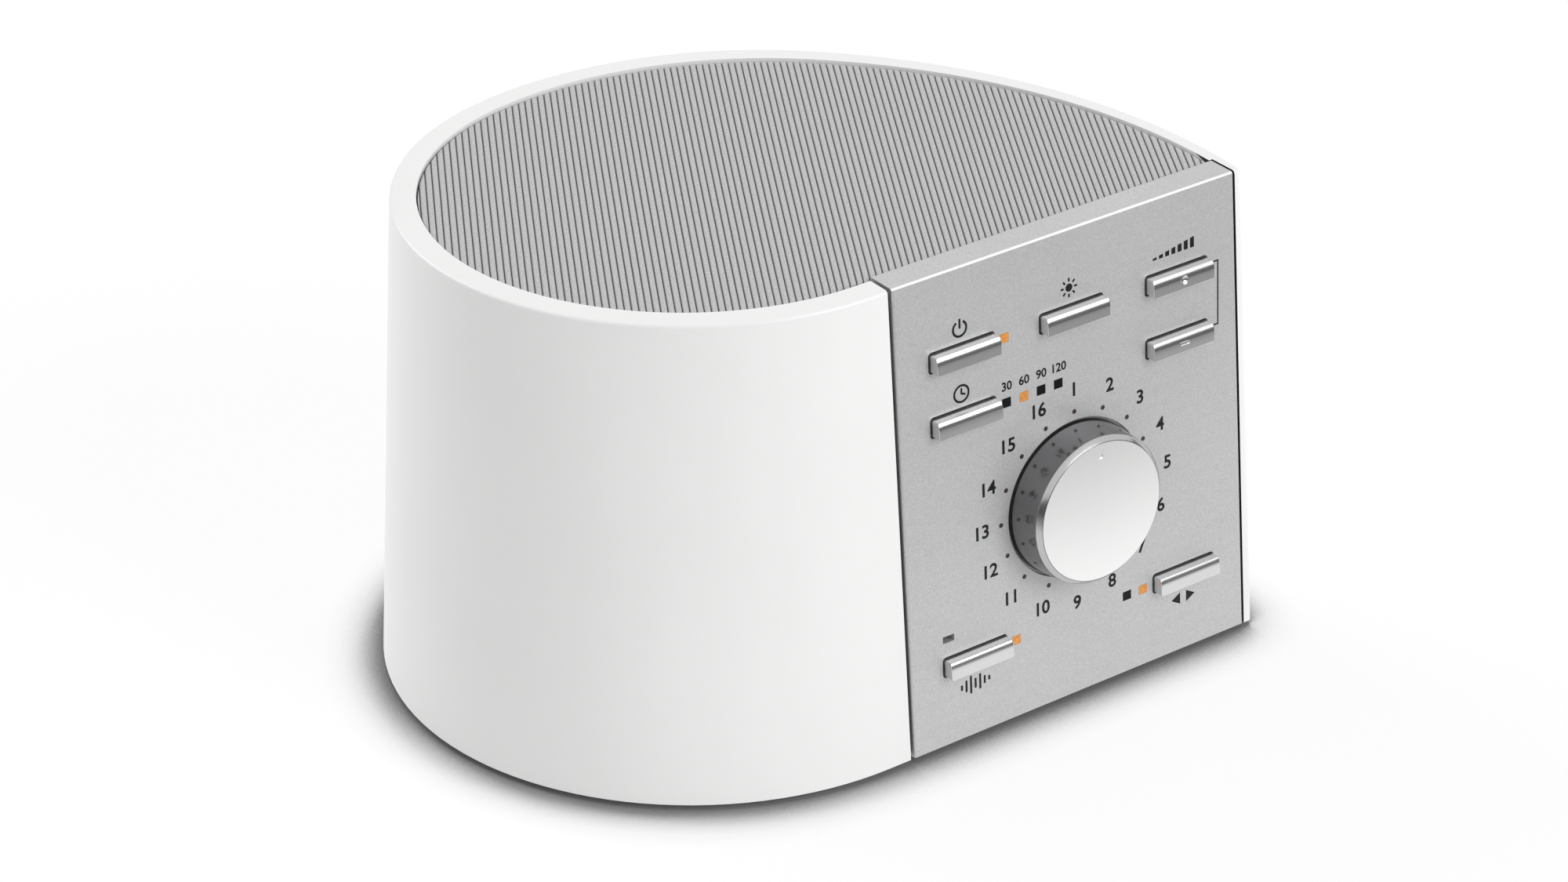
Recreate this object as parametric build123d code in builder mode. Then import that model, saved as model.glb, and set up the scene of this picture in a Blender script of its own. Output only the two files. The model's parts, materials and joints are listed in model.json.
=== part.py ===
from build123d import *
import os
from math import asin, atan2, cos, degrees, radians, sin, tan

# A bedside sound machine: a teardrop-plan white casing that widens towards its foot, a silver
# control panel across the flat front, a ribbed cloth grille in the top and a loudspeaker under it.
# Millimetres, +Z up, the panel faces -Y. The origin is the centre of the bounding box's bottom.

# ---------------------------------------------------------------- plan outline
# Three tangent arcs and the straight panel side, about the centre of the left arc (the bowl centre).
LEFT_RIM_R = 59.3
BACK_RIM_R = 75.5
SIDE_RIM_R = 117.8
LEFT_FLARE = 6.2
BACK_FLARE = 4.6
SIDE_FLARE = 4.3
LEFT_RING = 5.3
BACK_RING = 3.4
SIDE_RING = 3.8
BACK_JOIN = 101.7
SIDE_JOIN = 46.65

# ---------------------------------------------------------------- casing
SHELL_HEIGHT = 102.6
FOOT_STAND = 1.2
WALL = 2.4
ROOF = 2.4
RIM_ROUND = 0.8
CORNER_ROUND = 1.0
FIT_GAP = 0.3
RUNNING_GAP = 0.05

# ---------------------------------------------------------------- front panel, in face coordinates
# u runs along X from the bowl centre, w up the leaning face from its bottom edge.
PANEL_LEFT_FOOT = 6.25
PANEL_LEFT_TOP = 4.6
RIGHT_STRIP_FOOT = 2.67
RIGHT_STRIP_TOP = 2.26
PANEL_THICK = 2.4
PANEL_EDGE_BEVEL = 0.35
PANEL_SIDE_ROUND = 0.6
STRIP_DEPTH = 6.4
LEFT_SEAM = 0.95
RIGHT_SEAM = 0.6
RETURN_DEPTH = 6.2
RETURN_THICK = 1.6
RETURN_START = 3.0

# ---------------------------------------------------------------- keys
KEY_LENGTH = 15.6
KEY_HEIGHT = 4.0
KEY_PROUD = 2.65
KEY_UPPER_ROUND = 1.0
KEY_LOWER_ROUND = 0.4
KEY_END_ROUND = 0.5
KEY_GAP = 0.3
KEY_HOLE_ROUND = 0.8
KEY_TRAVEL = 0.8
KEY_FLANGE = 0.5
KEY_FLANGE_THICK = 1.0
KEY_STEM_D = 3.0
KEY_STEM_END = 5.9
LEFT_COLUMN = 20.75
MIDDLE_COLUMN = 47.8
RIGHT_COLUMN_INSET = 14.6
TOP_ROW_DROP = 18.2
SECOND_ROW_DROP = 32.0
BOTTOM_ROW = 17.55
ADAPTIVE_U = 22.0
SELECTION_INSET = 13.2
DIMPLE_SPHERE_R = 1.6
DIMPLE_RISE = 1.2
DASH_LENGTH = 2.6
DASH_WIDTH = 1.0
DASH_DEPTH = 0.35

# ---------------------------------------------------------------- indicator windows and microphone
LENS_WIDTH = 2.1
LENS_HEIGHT = 1.95
LENS_GAP = 0.6
POWER_LED_SHIFT = 10.35
POWER_LED_DROP = 0.1
TIMER_LED_SHIFT = 10.6
TIMER_LED_DROP = 0.25
TIMER_LED_PITCH = 4.3
TIMER_LEDS = 4
SELECTION_LED_SHIFTS = (-14.85, -10.7)
ADAPTIVE_LED_SHIFT = 10.4
BOTTOM_LED_DROP = 0.1
EMITTER_WIDTH = 1.6
EMITTER_HEIGHT = 2.0
EMITTER_THICK = 0.9
MIC_SLOT = (15.5, 23.75)
MIC_SLOT_WIDTH = 2.8
MIC_SLOT_HEIGHT = 1.5
MIC_R = 2.2
MIC_LENGTH = 1.7
MIC_STANDOFF = 0.5
MIC_RISE = 0.8
BOOT_WALL = 1.0
BOOT_BACK = 0.6
BOOT_WIRE_R = 0.8

# ---------------------------------------------------------------- selector knob
KNOB_U = 48.15
KNOB_W = 44.3
KNOB_BASE_R = 16.6
KNOB_SHOULDER_R = 15.86
KNOB_SHOULDER = 7.1
KNOB_CHAMFER = 1.0
KNOB_WALL = 1.4
KNOB_SINK = 0.4
KNOB_WELL_R = 17.05
KNOB_WELL_DEPTH = 0.9
KNOB_HUB_R = 5.0
KNOB_FACE_THICK = 1.0
POINTER_RADIUS = 12.8
POINTER_LENGTH = 2.6
POINTER_WIDTH = 1.2
POINTER_DEPTH = 0.25
SHAFT_R = 3.0
SHAFT_FLAT = 2.2
SHAFT_ROOT = 6.0
SHAFT_TIP = 6.6
BUSHING_R = 3.5
BUSHING_GAP = 0.15
BUSHING_PROUD = 1.6
SELECTOR_SIZE = 14.0
SELECTOR_SHOULDER_R = 5.2
SELECTOR_SHOULDER = 1.7
NUT_ACROSS_FLATS = 10.0
NUT_THICK = 1.8

# ---------------------------------------------------------------- control board
BOARD_DEPTH = 10.5
BOARD_THICK = 1.6
BOARD_LEFT = 14.5
BOARD_RIGHT_INSET = 9.6
BOARD_BOTTOM = 6.0
BOARD_TOP_DROP = 12.3
BOARD_POST_D = 5.2
BOARD_UPPER_POSTS = (34.5, 61.5)
BOARD_LOWER_POSTS = (38.0, 66.0)
BOARD_UPPER_DROP = 15.6
BOARD_LOWER_W = 9.5
SWITCH_SIZE = 6.2
SWITCH_HEIGHT = 3.4
PLUNGER_R = 1.75
PLUNGER_SEAT = 1.5

# ---------------------------------------------------------------- fasteners
CASE_SCREW_R = 1.5
CASE_HEAD_R = 2.8
CASE_HEAD = 1.4
BOARD_SCREW_R = 1.1
BOARD_HEAD_R = 2.1
BOARD_HEAD = 1.5
BOSS_R = 3.5
DRIVE_SPAN = 1.2
DRIVE_SLOT = 0.6
DRIVE_DEPTH = 0.8
BASE_SCREW_LENGTH = 10.0
PANEL_SCREW_LENGTH = 6.6
DECK_SCREW_LENGTH = 9.0
BOARD_SCREW_LENGTH = 5.5
SPEAKER_SCREW_LENGTH = 5.2

# ---------------------------------------------------------------- panel fixing lugs
LUG_BOTTOM_W = 8.5
LUG_TOP_DROP = 8.8
LUG_LEFT_U = 9.3
LUG_RIGHT_INSET = 5.5
LUG_DEPTH = 8.0
LUG_THICK = 2.4
LUG_HEIGHT = 7.4
PANEL_BOSS_R = 3.0

# ---------------------------------------------------------------- grille and speaker deck
CLOTH_SINK = 1.0
CLOTH_THICK = 0.8
CARRIER_THICK = 2.0
CARRIER_SKIRT = 1.6
LATTICE_PITCH = 13.0
LATTICE_BAR = 2.4
LATTICE_BARS = 6
CLOTH_GAP = 0.3
DECK_DROP = 8.2
DECK_THICK = 2.8
DECK_GAP = 0.5
DECK_FRONT_Y = -44.0
DECK_POST_RISE = 3.0
DECK_POST_R = 2.6
DECK_BOSS_ANGLES = (214.0, 150.0, 72.0, 12.0)
DECK_BOSS_INSET = 5.2
DECK_BOSS_LENGTH = 12.0
WEB_THICK = 2.4

# ---------------------------------------------------------------- loudspeaker
SPEAKER_X = 6.0
SPEAKER_Y = 0.0
SPEAKER_FRAME = 78.0
SPEAKER_FRAME_ROUND = 10.0
SPEAKER_SCREW_SPAN = 63.0
SPEAKER_HOLE_R = 36.2
SPEAKER_FLANGE = 1.6
BASKET_INNER_R = 33.0
BASKET_SHELF_R = 26.0
BASKET_SHELF_INNER_R = 21.0
BASKET_SHELF_DROP = 13.4
BASKET_WALL = 1.4
BASKET_DEPTH = 24.2
BASKET_NECK_R = 12.0
SPIDER_THICK = 0.5
BASKET_WINDOWS = 6
BASKET_WINDOW_WIDTH = 14.0
SURROUND_OUTER_R = 35.9
SURROUND_ROLL_R = 2.2
SURROUND_INNER_R = 26.5
SURROUND_SKIN = 0.6
CONE_RIM_R = 28.6
CONE_NECK_R = 10.0
CONE_DEPTH = 11.5
CONE_SKIN = 0.6
CAP_R = 12.5
CAP_RISE = 4.0
COIL_OUTER_R = 10.0
COIL_INNER_R = 9.5
COIL_LENGTH = 18.0
MAGNET_R = 25.0
MAGNET_THICK = 10.0
PLATE_R = 22.0
PLATE_THICK = 4.0
POLE_R = 9.1
GAP_OUTER_R = 10.5

# ---------------------------------------------------------------- base plate, feet and battery bay
BASE_THICK = 2.4
BASE_BOSS_ANGLES = (236.0, 156.0, 50.0, 2.0)
BASE_BOSS_INSET = 8.0
BASE_BOSS_LENGTH = 15.0
FOOT_R = 5.0
FOOT_SEAT = 0.9
FOOT_CHAMFER = 0.4
FOOT_PLACES = ((216.25, 9.7), (136.5, 10.3), (41.7, 9.7), (-4.7, 21.9))
BAY_X = -4.0
BAY_Y = -9.0
BAY_WIDTH = 59.0
BAY_LENGTH = 57.0
BAY_HEIGHT = 15.4
BAY_WALL = 1.6
BAY_FLANGE = 3.0
BAY_FLANGE_THICK = 1.6
CELLS = 4
DOOR_THICK = 2.0
DOOR_GAP = 0.3
DOOR_MARGIN = 1.5
HINGE_ROUND = 0.95
HINGE_PIN_R = 0.6
HINGE_PIN_LENGTH = 1.8
HINGE_CLEARANCE = 0.08
THUMB_R = 7.0
THUMB_DEPTH = 0.9
CATCH_WIDTH = 9.0
CATCH_THICK = 1.2
CATCH_HEIGHT = 2.6
CONTACT_THICK = 0.4
CONTACT_SIZE = 9.0
SPRING_STRIP = 0.4
SPRING_WIDTH = 5.0
SPRING_SPAN = 8.4
SPRING_LENGTH = 4.6

# ---------------------------------------------------------------- main board and rear jacks
MAIN_BOARD_Z = 8.0
MAIN_BOARD_THICK = 1.6
MAIN_BOARD_LEFT = -23.0
MAIN_BOARD_RIGHT = 37.0
MAIN_BOARD_FRONT = 28.0
MAIN_BOARD_BACK = 53.0
MAIN_POST_INSET = 3.5
JACK_PLATE_WIDTH = 41.6
JACK_PLATE_HEIGHT = 15.0
JACK_PLATE_Z = 15.2
JACK_PLATE_FACE = 61.0
JACK_PLATE_STEP = 2.4
JACK_PLATE_FLANGE = 1.4
JACK_PLATE_LIP = 1.6
JACK_PLATE_X = 3.0
JACK_PITCH = 13.0
JACK_INSET = 0.3
JACK_BODY_GAP = 0.3
AUDIO_JACK_BORE_R = 1.8
AUDIO_JACK_BORE = 14.0
AUDIO_JACK_WIDTH = 8.0
AUDIO_JACK_HEIGHT = 8.4
AUDIO_JACK_LENGTH = 14.5
AUDIO_BARREL_R = 3.0
DC_WIDTH = 9.0
DC_HEIGHT = 10.6
DC_LENGTH = 13.5
DC_BARREL_R = 4.0
DC_BORE_R = 2.8
DC_BORE = 9.5
DC_PIN_R = 1.0
DC_AXIS_RISE = 5.6
CAPACITOR_R = 4.0
CAPACITOR_HEIGHT = 11.0
CAPACITOR_ROUND = 0.6
CAPACITOR_PLACES = (-10.0, 26.5)
COMPONENT_Y = 35.0
CHIP_SIZE = 9.0
CHIP_X = 3.0
CHIP_THICK = 1.6
REGULATOR_SIZE = 6.5
REGULATOR_X = 16.0
HEADER_LENGTH = 8.0
HEADER_WIDTH = 4.0
HEADER_HEIGHT = 5.0
RIBBON_U = 34.5
RIBBON_W = 22.0
RIBBON_END_Y = 40.5
RIBBON_WIDTH = 7.0
RIBBON_THICK = 0.6
RIBBON_Z = 5.4
RIBBON_BEND_R = 2.4
RIBBON_RUN = 7.0
RIBBON_RISE = 4.0
RIBBON_CLEAR = 2.0
LEAD_R = 0.7
BEND_SHARE = 0.45
LEAD_PLACES = (9.4, 11.4)
LEAD_FALL = ((26.2, 21.6), (31.0, 22.4), (35.0, 27.6), (36.8, 40.6))
LEAD_RISE = ((37.8, 38.0), (37.4, 22.0))

# ---------------------------------------------------------------- derived places
SHELL_TOP = FOOT_STAND + SHELL_HEIGHT
LEFT_FOOT_R = LEFT_RIM_R + LEFT_FLARE
BACK_FOOT_R = BACK_RIM_R + BACK_FLARE
SIDE_FOOT_R = SIDE_RIM_R + SIDE_FLARE
LEAN = atan2(LEFT_FLARE, SHELL_HEIGHT)
FACE_HEIGHT = SHELL_HEIGHT / cos(LEAN)
DECK_TOP = SHELL_TOP - DECK_DROP
CLOTH_TOP = SHELL_TOP - CLOTH_SINK
CARRIER_TOP = CLOTH_TOP - CLOTH_THICK
BASE_TOP = FOOT_STAND + BASE_THICK
DECK_BOTTOM = DECK_TOP - DECK_THICK
KNOB_HEIGHT = KNOB_SHOULDER + KNOB_CHAMFER
KNOB_FACE_R = KNOB_SHOULDER_R - KNOB_CHAMFER
MAIN_BOARD_TOP = MAIN_BOARD_Z + MAIN_BOARD_THICK


def ray(angle):
    """Unit vector in plan at an angle from +X."""
    return Vector(cos(radians(angle)), sin(radians(angle)))


def centres(radii):
    """Centres of the left, back and side arcs of a plan outline."""
    left_r, back_r, side_r = radii
    back = ray(BACK_JOIN) * (left_r - back_r)
    side = back + ray(SIDE_JOIN) * (back_r - side_r)
    return Vector(0, 0), back, side


def radii_at(z, inset=0.0):
    """Arc radii of the casing at a height, moved inwards by an inset."""
    share = (z - FOOT_STAND) / SHELL_HEIGHT
    foot = (LEFT_FOOT_R, BACK_FOOT_R, SIDE_FOOT_R)
    rim = (LEFT_RIM_R, BACK_RIM_R, SIDE_RIM_R)
    return tuple(low + (high - low) * share - inset for low, high in zip(foot, rim))


def opening(inset=0.0):
    """Arc radii of the opening in the top, moved inwards by an inset."""
    rings = ((LEFT_RIM_R, LEFT_RING), (BACK_RIM_R, BACK_RING), (SIDE_RIM_R, SIDE_RING))
    return tuple(rim - ring - inset for rim, ring in rings)


def on_outline(angle, radii):
    """Point of a plan outline where its outward direction is the given angle."""
    left, back, side = centres(radii)
    if angle >= BACK_JOIN:
        return left + ray(angle) * radii[0]
    if angle >= SIDE_JOIN:
        return back + ray(angle) * radii[1]
    return side + ray(angle) * radii[2]


def front_corner(radii):
    """Where the straight front of a plan outline meets its side arc, along X."""
    side = centres(radii)[2]
    return side.X + radii[2] * cos(asin((-radii[0] - side.Y) / radii[2]))


def outline(radii, front=None):
    """Closed plan outline: left, back and side arcs, then a straight front at y = front."""
    left, back, side = centres(radii)
    left_r, back_r, side_r = radii
    front_y = -left_r if front is None else front
    start = 180 + degrees(asin(-front_y / left_r))
    finish = degrees(asin((front_y - side.Y) / side_r))
    with BuildSketch() as plan:
        with BuildLine():
            CenterArc(left, left_r, start, BACK_JOIN - start)
            CenterArc(back, back_r, BACK_JOIN, SIDE_JOIN - BACK_JOIN)
            CenterArc(side, side_r, SIDE_JOIN, finish - SIDE_JOIN)
            Line(side + ray(finish) * side_r, left + ray(start) * left_r)
        make_face()
    return plan.sketch


# The bowl centre in the part's frame, so that the origin is the middle of the whole box.
FOOT_BACK, FOOT_SIDE = centres(radii_at(FOOT_STAND))[1:]
KNOB_REACH = KNOB_HEIGHT * cos(LEAN) + KNOB_FACE_R * sin(LEAN)
KNOB_FRONT_Y = -LEFT_FOOT_R + KNOB_W * sin(LEAN) - KNOB_REACH
BOWL_X = -(FOOT_SIDE.X + SIDE_FOOT_R - LEFT_FOOT_R) / 2
BOWL_Y = -(FOOT_BACK.Y + BACK_FOOT_R + KNOB_FRONT_Y) / 2

# Places on the panel that keep to its right edge or to its top.
PANEL_RIGHT_FOOT = front_corner(radii_at(FOOT_STAND)) - RIGHT_STRIP_FOOT
PANEL_RIGHT_TOP = front_corner(radii_at(SHELL_TOP)) - RIGHT_STRIP_TOP
RIGHT_COLUMN = PANEL_RIGHT_TOP - RIGHT_COLUMN_INSET
SELECTION_U = PANEL_RIGHT_TOP - SELECTION_INSET
LUG_RIGHT_U = PANEL_RIGHT_TOP - LUG_RIGHT_INSET
BOARD_RIGHT = PANEL_RIGHT_TOP - BOARD_RIGHT_INSET
TOP_ROW = FACE_HEIGHT - TOP_ROW_DROP
SECOND_ROW = FACE_HEIGHT - SECOND_ROW_DROP
BOARD_TOP = FACE_HEIGHT - BOARD_TOP_DROP
LUG_ROWS = (LUG_BOTTOM_W, FACE_HEIGHT - LUG_TOP_DROP)
BOARD_POSTS = [
    *[(u, FACE_HEIGHT - BOARD_UPPER_DROP) for u in BOARD_UPPER_POSTS],
    *[(u, BOARD_LOWER_W) for u in BOARD_LOWER_POSTS],
]


def level(z):
    """Horizontal plane at a height, with its origin on the bowl centre's axis."""
    return Plane(origin=(BOWL_X, BOWL_Y, z))


def face(out=0.0):
    """Plane of the panel's face, moved out of the casing; u runs along X and w up the face."""
    foot = (BOWL_X, BOWL_Y - LEFT_FOOT_R, FOOT_STAND)
    return Plane(origin=foot, x_dir=(1, 0, 0), z_dir=(0, -cos(LEAN), sin(LEAN))).offset(out)


def face_point(u, w, out=0.0):
    """Point in the part's frame of a place on the panel's face."""
    return face().from_local_coords(Vector(u, w, out))


def panel_outline(side_gap, bottom=0.0, top=0.0):
    """Four corners of the panel in face coordinates, grown sideways and past its ends."""
    left_run = (PANEL_LEFT_TOP - PANEL_LEFT_FOOT) / FACE_HEIGHT
    right_run = (PANEL_RIGHT_TOP - PANEL_RIGHT_FOOT) / FACE_HEIGHT
    high = FACE_HEIGHT + top
    left_gap, right_gap = side_gap
    return [
        (PANEL_LEFT_FOOT + left_run * bottom - left_gap, bottom),
        (PANEL_RIGHT_FOOT + right_run * bottom + right_gap, bottom),
        (PANEL_RIGHT_FOOT + right_run * high + right_gap, high),
        (PANEL_LEFT_FOOT + left_run * high - left_gap, high),
    ]


def finish(piece, label):
    """Name a finished piece and write it."""
    piece.part.label = label
    export_step(piece.part, f"parts/{label}.step")
    box = piece.part.bounding_box()
    print(f"{label}: {len(piece.part.solids())} solids, {box.size.X:.1f} x {box.size.Y:.1f} x {box.size.Z:.1f}")


def hinge_end(side, reach):
    """Plane across the door's hinge axis, facing outwards on one side."""
    origin = (BOWL_X + BAY_X + side * reach, BOWL_Y + HINGE_Y, HINGE_Z)
    return Plane(origin=origin, x_dir=(0, 1, 0), z_dir=(side, 0, 0))


def jack_face(out=0.0):
    """Plane of the jack plate's outer face, seen from behind: u runs along -X and v up."""
    origin = (BOWL_X + JACK_PLATE_X, BOWL_Y + JACK_PLATE_FACE + out, JACK_PLATE_Z)
    return Plane(origin=origin, x_dir=(-1, 0, 0), z_dir=(0, 1, 0))


def face_from_behind(depth):
    """Plane behind the panel at a depth, facing into the casing: its x runs against u."""
    return Plane(origin=face_point(0, 0, -depth), x_dir=(-1, 0, 0), z_dir=(0, cos(LEAN), -sin(LEAN)))


def section_of_face(u, w):
    """Plane across the panel at a place on it: x runs up the face and y out of it."""
    return Plane(origin=face_point(u, w), x_dir=face().y_dir, z_dir=(1, 0, 0))


def section_through(plane, x=0.0, y=0.0):
    """Plane that holds a plane's normal: its own y runs along that normal."""
    origin = plane.from_local_coords(Vector(x, y, 0))
    return Plane(origin=origin, x_dir=plane.x_dir, z_dir=plane.y_dir * -1)


def shaft_profile(gap):
    """Round shaft section with one flat, grown by a gap."""
    with BuildSketch() as section:
        Circle(SHAFT_R + gap)
        with Locations((0, SHAFT_FLAT + gap)):
            Rectangle(3 * SHAFT_R, SHAFT_R, align=(Align.CENTER, Align.MIN), mode=Mode.SUBTRACT)
    return section.sketch


def bend_radii(route):
    """Largest radius at each inner point of a route that its two runs leave room for."""
    radii = []
    for before, point, after in zip(route, route[1:], route[2:]):
        turn = radians((point - before).get_angle(after - point))
        radii.append(BEND_SHARE * min((point - before).length, (after - point).length) / tan(turn / 2))
    return radii


def screws(seat, places, shank_r, length, head_r, head):
    """Cross-headed screws: the head stands on the seat plane and the shank runs behind it."""
    with BuildSketch(seat) as heads:
        with Locations(*places):
            Circle(head_r)
    extrude(heads.sketch, amount=head)
    with BuildSketch(seat) as shanks:
        with Locations(*places):
            Circle(shank_r)
    extrude(shanks.sketch, amount=-length)
    with BuildSketch(seat.offset(head)) as crosses:
        with Locations(*places):
            Rectangle(head_r * DRIVE_SPAN, DRIVE_SLOT)
            Rectangle(DRIVE_SLOT, head_r * DRIVE_SPAN)
    extrude(crosses.sketch, amount=-DRIVE_DEPTH, mode=Mode.SUBTRACT)


KEY_PLACES = {
    "power": (LEFT_COLUMN, TOP_ROW),
    "timer": (LEFT_COLUMN, SECOND_ROW),
    "display": (MIDDLE_COLUMN, TOP_ROW),
    "volume_up": (RIGHT_COLUMN, TOP_ROW),
    "volume_down": (RIGHT_COLUMN, SECOND_ROW),
    "selection": (SELECTION_U, BOTTOM_ROW),
    "adaptive": (ADAPTIVE_U, BOTTOM_ROW),
}
POWER_LENS = (LEFT_COLUMN + POWER_LED_SHIFT, TOP_ROW - POWER_LED_DROP)
TIMER_LENSES = [
    (LEFT_COLUMN + TIMER_LED_SHIFT + n * TIMER_LED_PITCH, SECOND_ROW - TIMER_LED_DROP)
    for n in range(TIMER_LEDS)
]
SELECTION_LENSES = [(SELECTION_U + shift, BOTTOM_ROW - BOTTOM_LED_DROP) for shift in SELECTION_LED_SHIFTS]
ADAPTIVE_LENS = (ADAPTIVE_U + ADAPTIVE_LED_SHIFT, BOTTOM_ROW - BOTTOM_LED_DROP)
LIT_LENSES = [POWER_LENS, TIMER_LENSES[1], SELECTION_LENSES[1], ADAPTIVE_LENS]
DARK_LENSES = [TIMER_LENSES[0], *TIMER_LENSES[2:], SELECTION_LENSES[0]]
FEET = [tuple(on_outline(angle, radii_at(FOOT_STAND, inset)))[:2] for angle, inset in FOOT_PLACES]

BAY_HOLE_WIDTH = BAY_WIDTH + 2 * DOOR_MARGIN
BAY_HOLE_LENGTH = BAY_LENGTH + 2 * DOOR_MARGIN
DOOR_WIDTH = BAY_HOLE_WIDTH - 2 * DOOR_GAP
DOOR_LENGTH = BAY_HOLE_LENGTH - 2 * DOOR_GAP
HINGE_Y = BAY_Y + (DOOR_LENGTH - DOOR_THICK) / 2
HINGE_Z = FOOT_STAND + DOOR_THICK / 2
CELL_PITCH = BAY_WIDTH / CELLS
CELL_PLACES = [BAY_X + (n - (CELLS - 1) / 2) * CELL_PITCH for n in range(CELLS)]
CELL_Z = BASE_TOP + BAY_HEIGHT / 2
MAIN_POSTS = [
    (x, y)
    for x in (MAIN_BOARD_LEFT + MAIN_POST_INSET, MAIN_BOARD_RIGHT - MAIN_POST_INSET)
    for y in (MAIN_BOARD_FRONT + MAIN_POST_INSET, MAIN_BOARD_BACK - MAIN_POST_INSET)
]
STRIP_BACK_Y = STRIP_DEPTH - LEFT_RIM_R
SPEAKER_SCREWS = [
    (SPEAKER_X + side * SPEAKER_SCREW_SPAN / 2, SPEAKER_Y + end * SPEAKER_SCREW_SPAN / 2)
    for side in (-1, 1)
    for end in (-1, 1)
]
SURROUND_MID_R = (BASKET_INNER_R + CONE_RIM_R) / 2
CONE_SLOPE = CONE_DEPTH / (SURROUND_INNER_R - CONE_NECK_R - RUNNING_GAP)
CAP_Z = (CAP_R - SURROUND_INNER_R) * CONE_SLOPE + FIT_GAP
CAP_SPHERE_R = (CAP_R**2 + CAP_RISE**2) / (2 * CAP_RISE)
KNOB_SEAT = KNOB_HEIGHT - KNOB_FACE_THICK
HUB_START = BUSHING_PROUD + KNOB_SINK
HUB_END = SHAFT_TIP
KEY_ROOT = PANEL_THICK + RUNNING_GAP
AUDIO_JACK_SIZE = (AUDIO_JACK_WIDTH, AUDIO_JACK_HEIGHT, AUDIO_JACK_LENGTH)
AUDIO_AXIS_Z = MAIN_BOARD_TOP + AUDIO_JACK_HEIGHT / 2
DC_AXIS_Z = MAIN_BOARD_TOP + DC_AXIS_RISE
JACKS = {
    "dc_jack": (-JACK_PITCH, DC_AXIS_Z, DC_BARREL_R),
    "headphone_jack": (0.0, AUDIO_AXIS_Z, AUDIO_BARREL_R),
    "aux_jack": (JACK_PITCH, AUDIO_AXIS_Z, AUDIO_BARREL_R),
}

os.makedirs("parts", exist_ok=True)


# ================================================================ casing
# The room inside the shell, less the bosses that stand on the base plate, the ones that carry the
# speaker deck and the lugs that the panel screws to, so that each of them grows out of the wall.
with BuildPart() as cavity:
    with BuildSketch(level(FOOT_STAND)):
        add(outline(radii_at(FOOT_STAND, WALL)))
    with BuildSketch(level(SHELL_TOP - ROOF)):
        add(outline(radii_at(SHELL_TOP - ROOF, WALL)))
    loft(ruled=True)
    with BuildSketch(level(BASE_TOP)):
        for angle in BASE_BOSS_ANGLES:
            seat = on_outline(angle, radii_at(FOOT_STAND, BASE_BOSS_INSET))
            with Locations(Location((seat.X, seat.Y), angle)):
                Circle(BOSS_R)
                Rectangle(BASE_BOSS_INSET, WEB_THICK, align=(Align.MIN, Align.CENTER))
    extrude(amount=BASE_BOSS_LENGTH, mode=Mode.SUBTRACT)
    with BuildSketch(level(DECK_BOTTOM)):
        for angle in DECK_BOSS_ANGLES:
            seat = on_outline(angle, opening(DECK_BOSS_INSET))
            reach = DECK_BOSS_INSET + LEFT_FLARE + LEFT_RING
            with Locations(Location((seat.X, seat.Y), angle)):
                Circle(BOSS_R)
                Rectangle(reach, WEB_THICK, align=(Align.MIN, Align.CENTER))
    extrude(amount=-DECK_BOSS_LENGTH, mode=Mode.SUBTRACT)
    with BuildSketch(face(-LUG_DEPTH)):
        for row in LUG_ROWS:
            with Locations((LUG_LEFT_U + LUG_HEIGHT / 2, row)):
                Rectangle(LUG_LEFT_U + LUG_HEIGHT, LUG_HEIGHT, align=(Align.MAX, Align.CENTER))
            with Locations((LUG_RIGHT_U - LUG_HEIGHT / 2, row)):
                Rectangle(SIDE_FOOT_R - LUG_RIGHT_U, LUG_HEIGHT, align=(Align.MIN, Align.CENTER))
    extrude(amount=-LUG_THICK, mode=Mode.SUBTRACT)
    with BuildSketch(face()):
        for row in LUG_ROWS:
            with Locations((LUG_LEFT_U - LUG_HEIGHT - WEB_THICK, row)):
                Rectangle(WEB_THICK, LUG_HEIGHT)
    extrude(amount=-LUG_DEPTH - LUG_THICK, mode=Mode.SUBTRACT)

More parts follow.
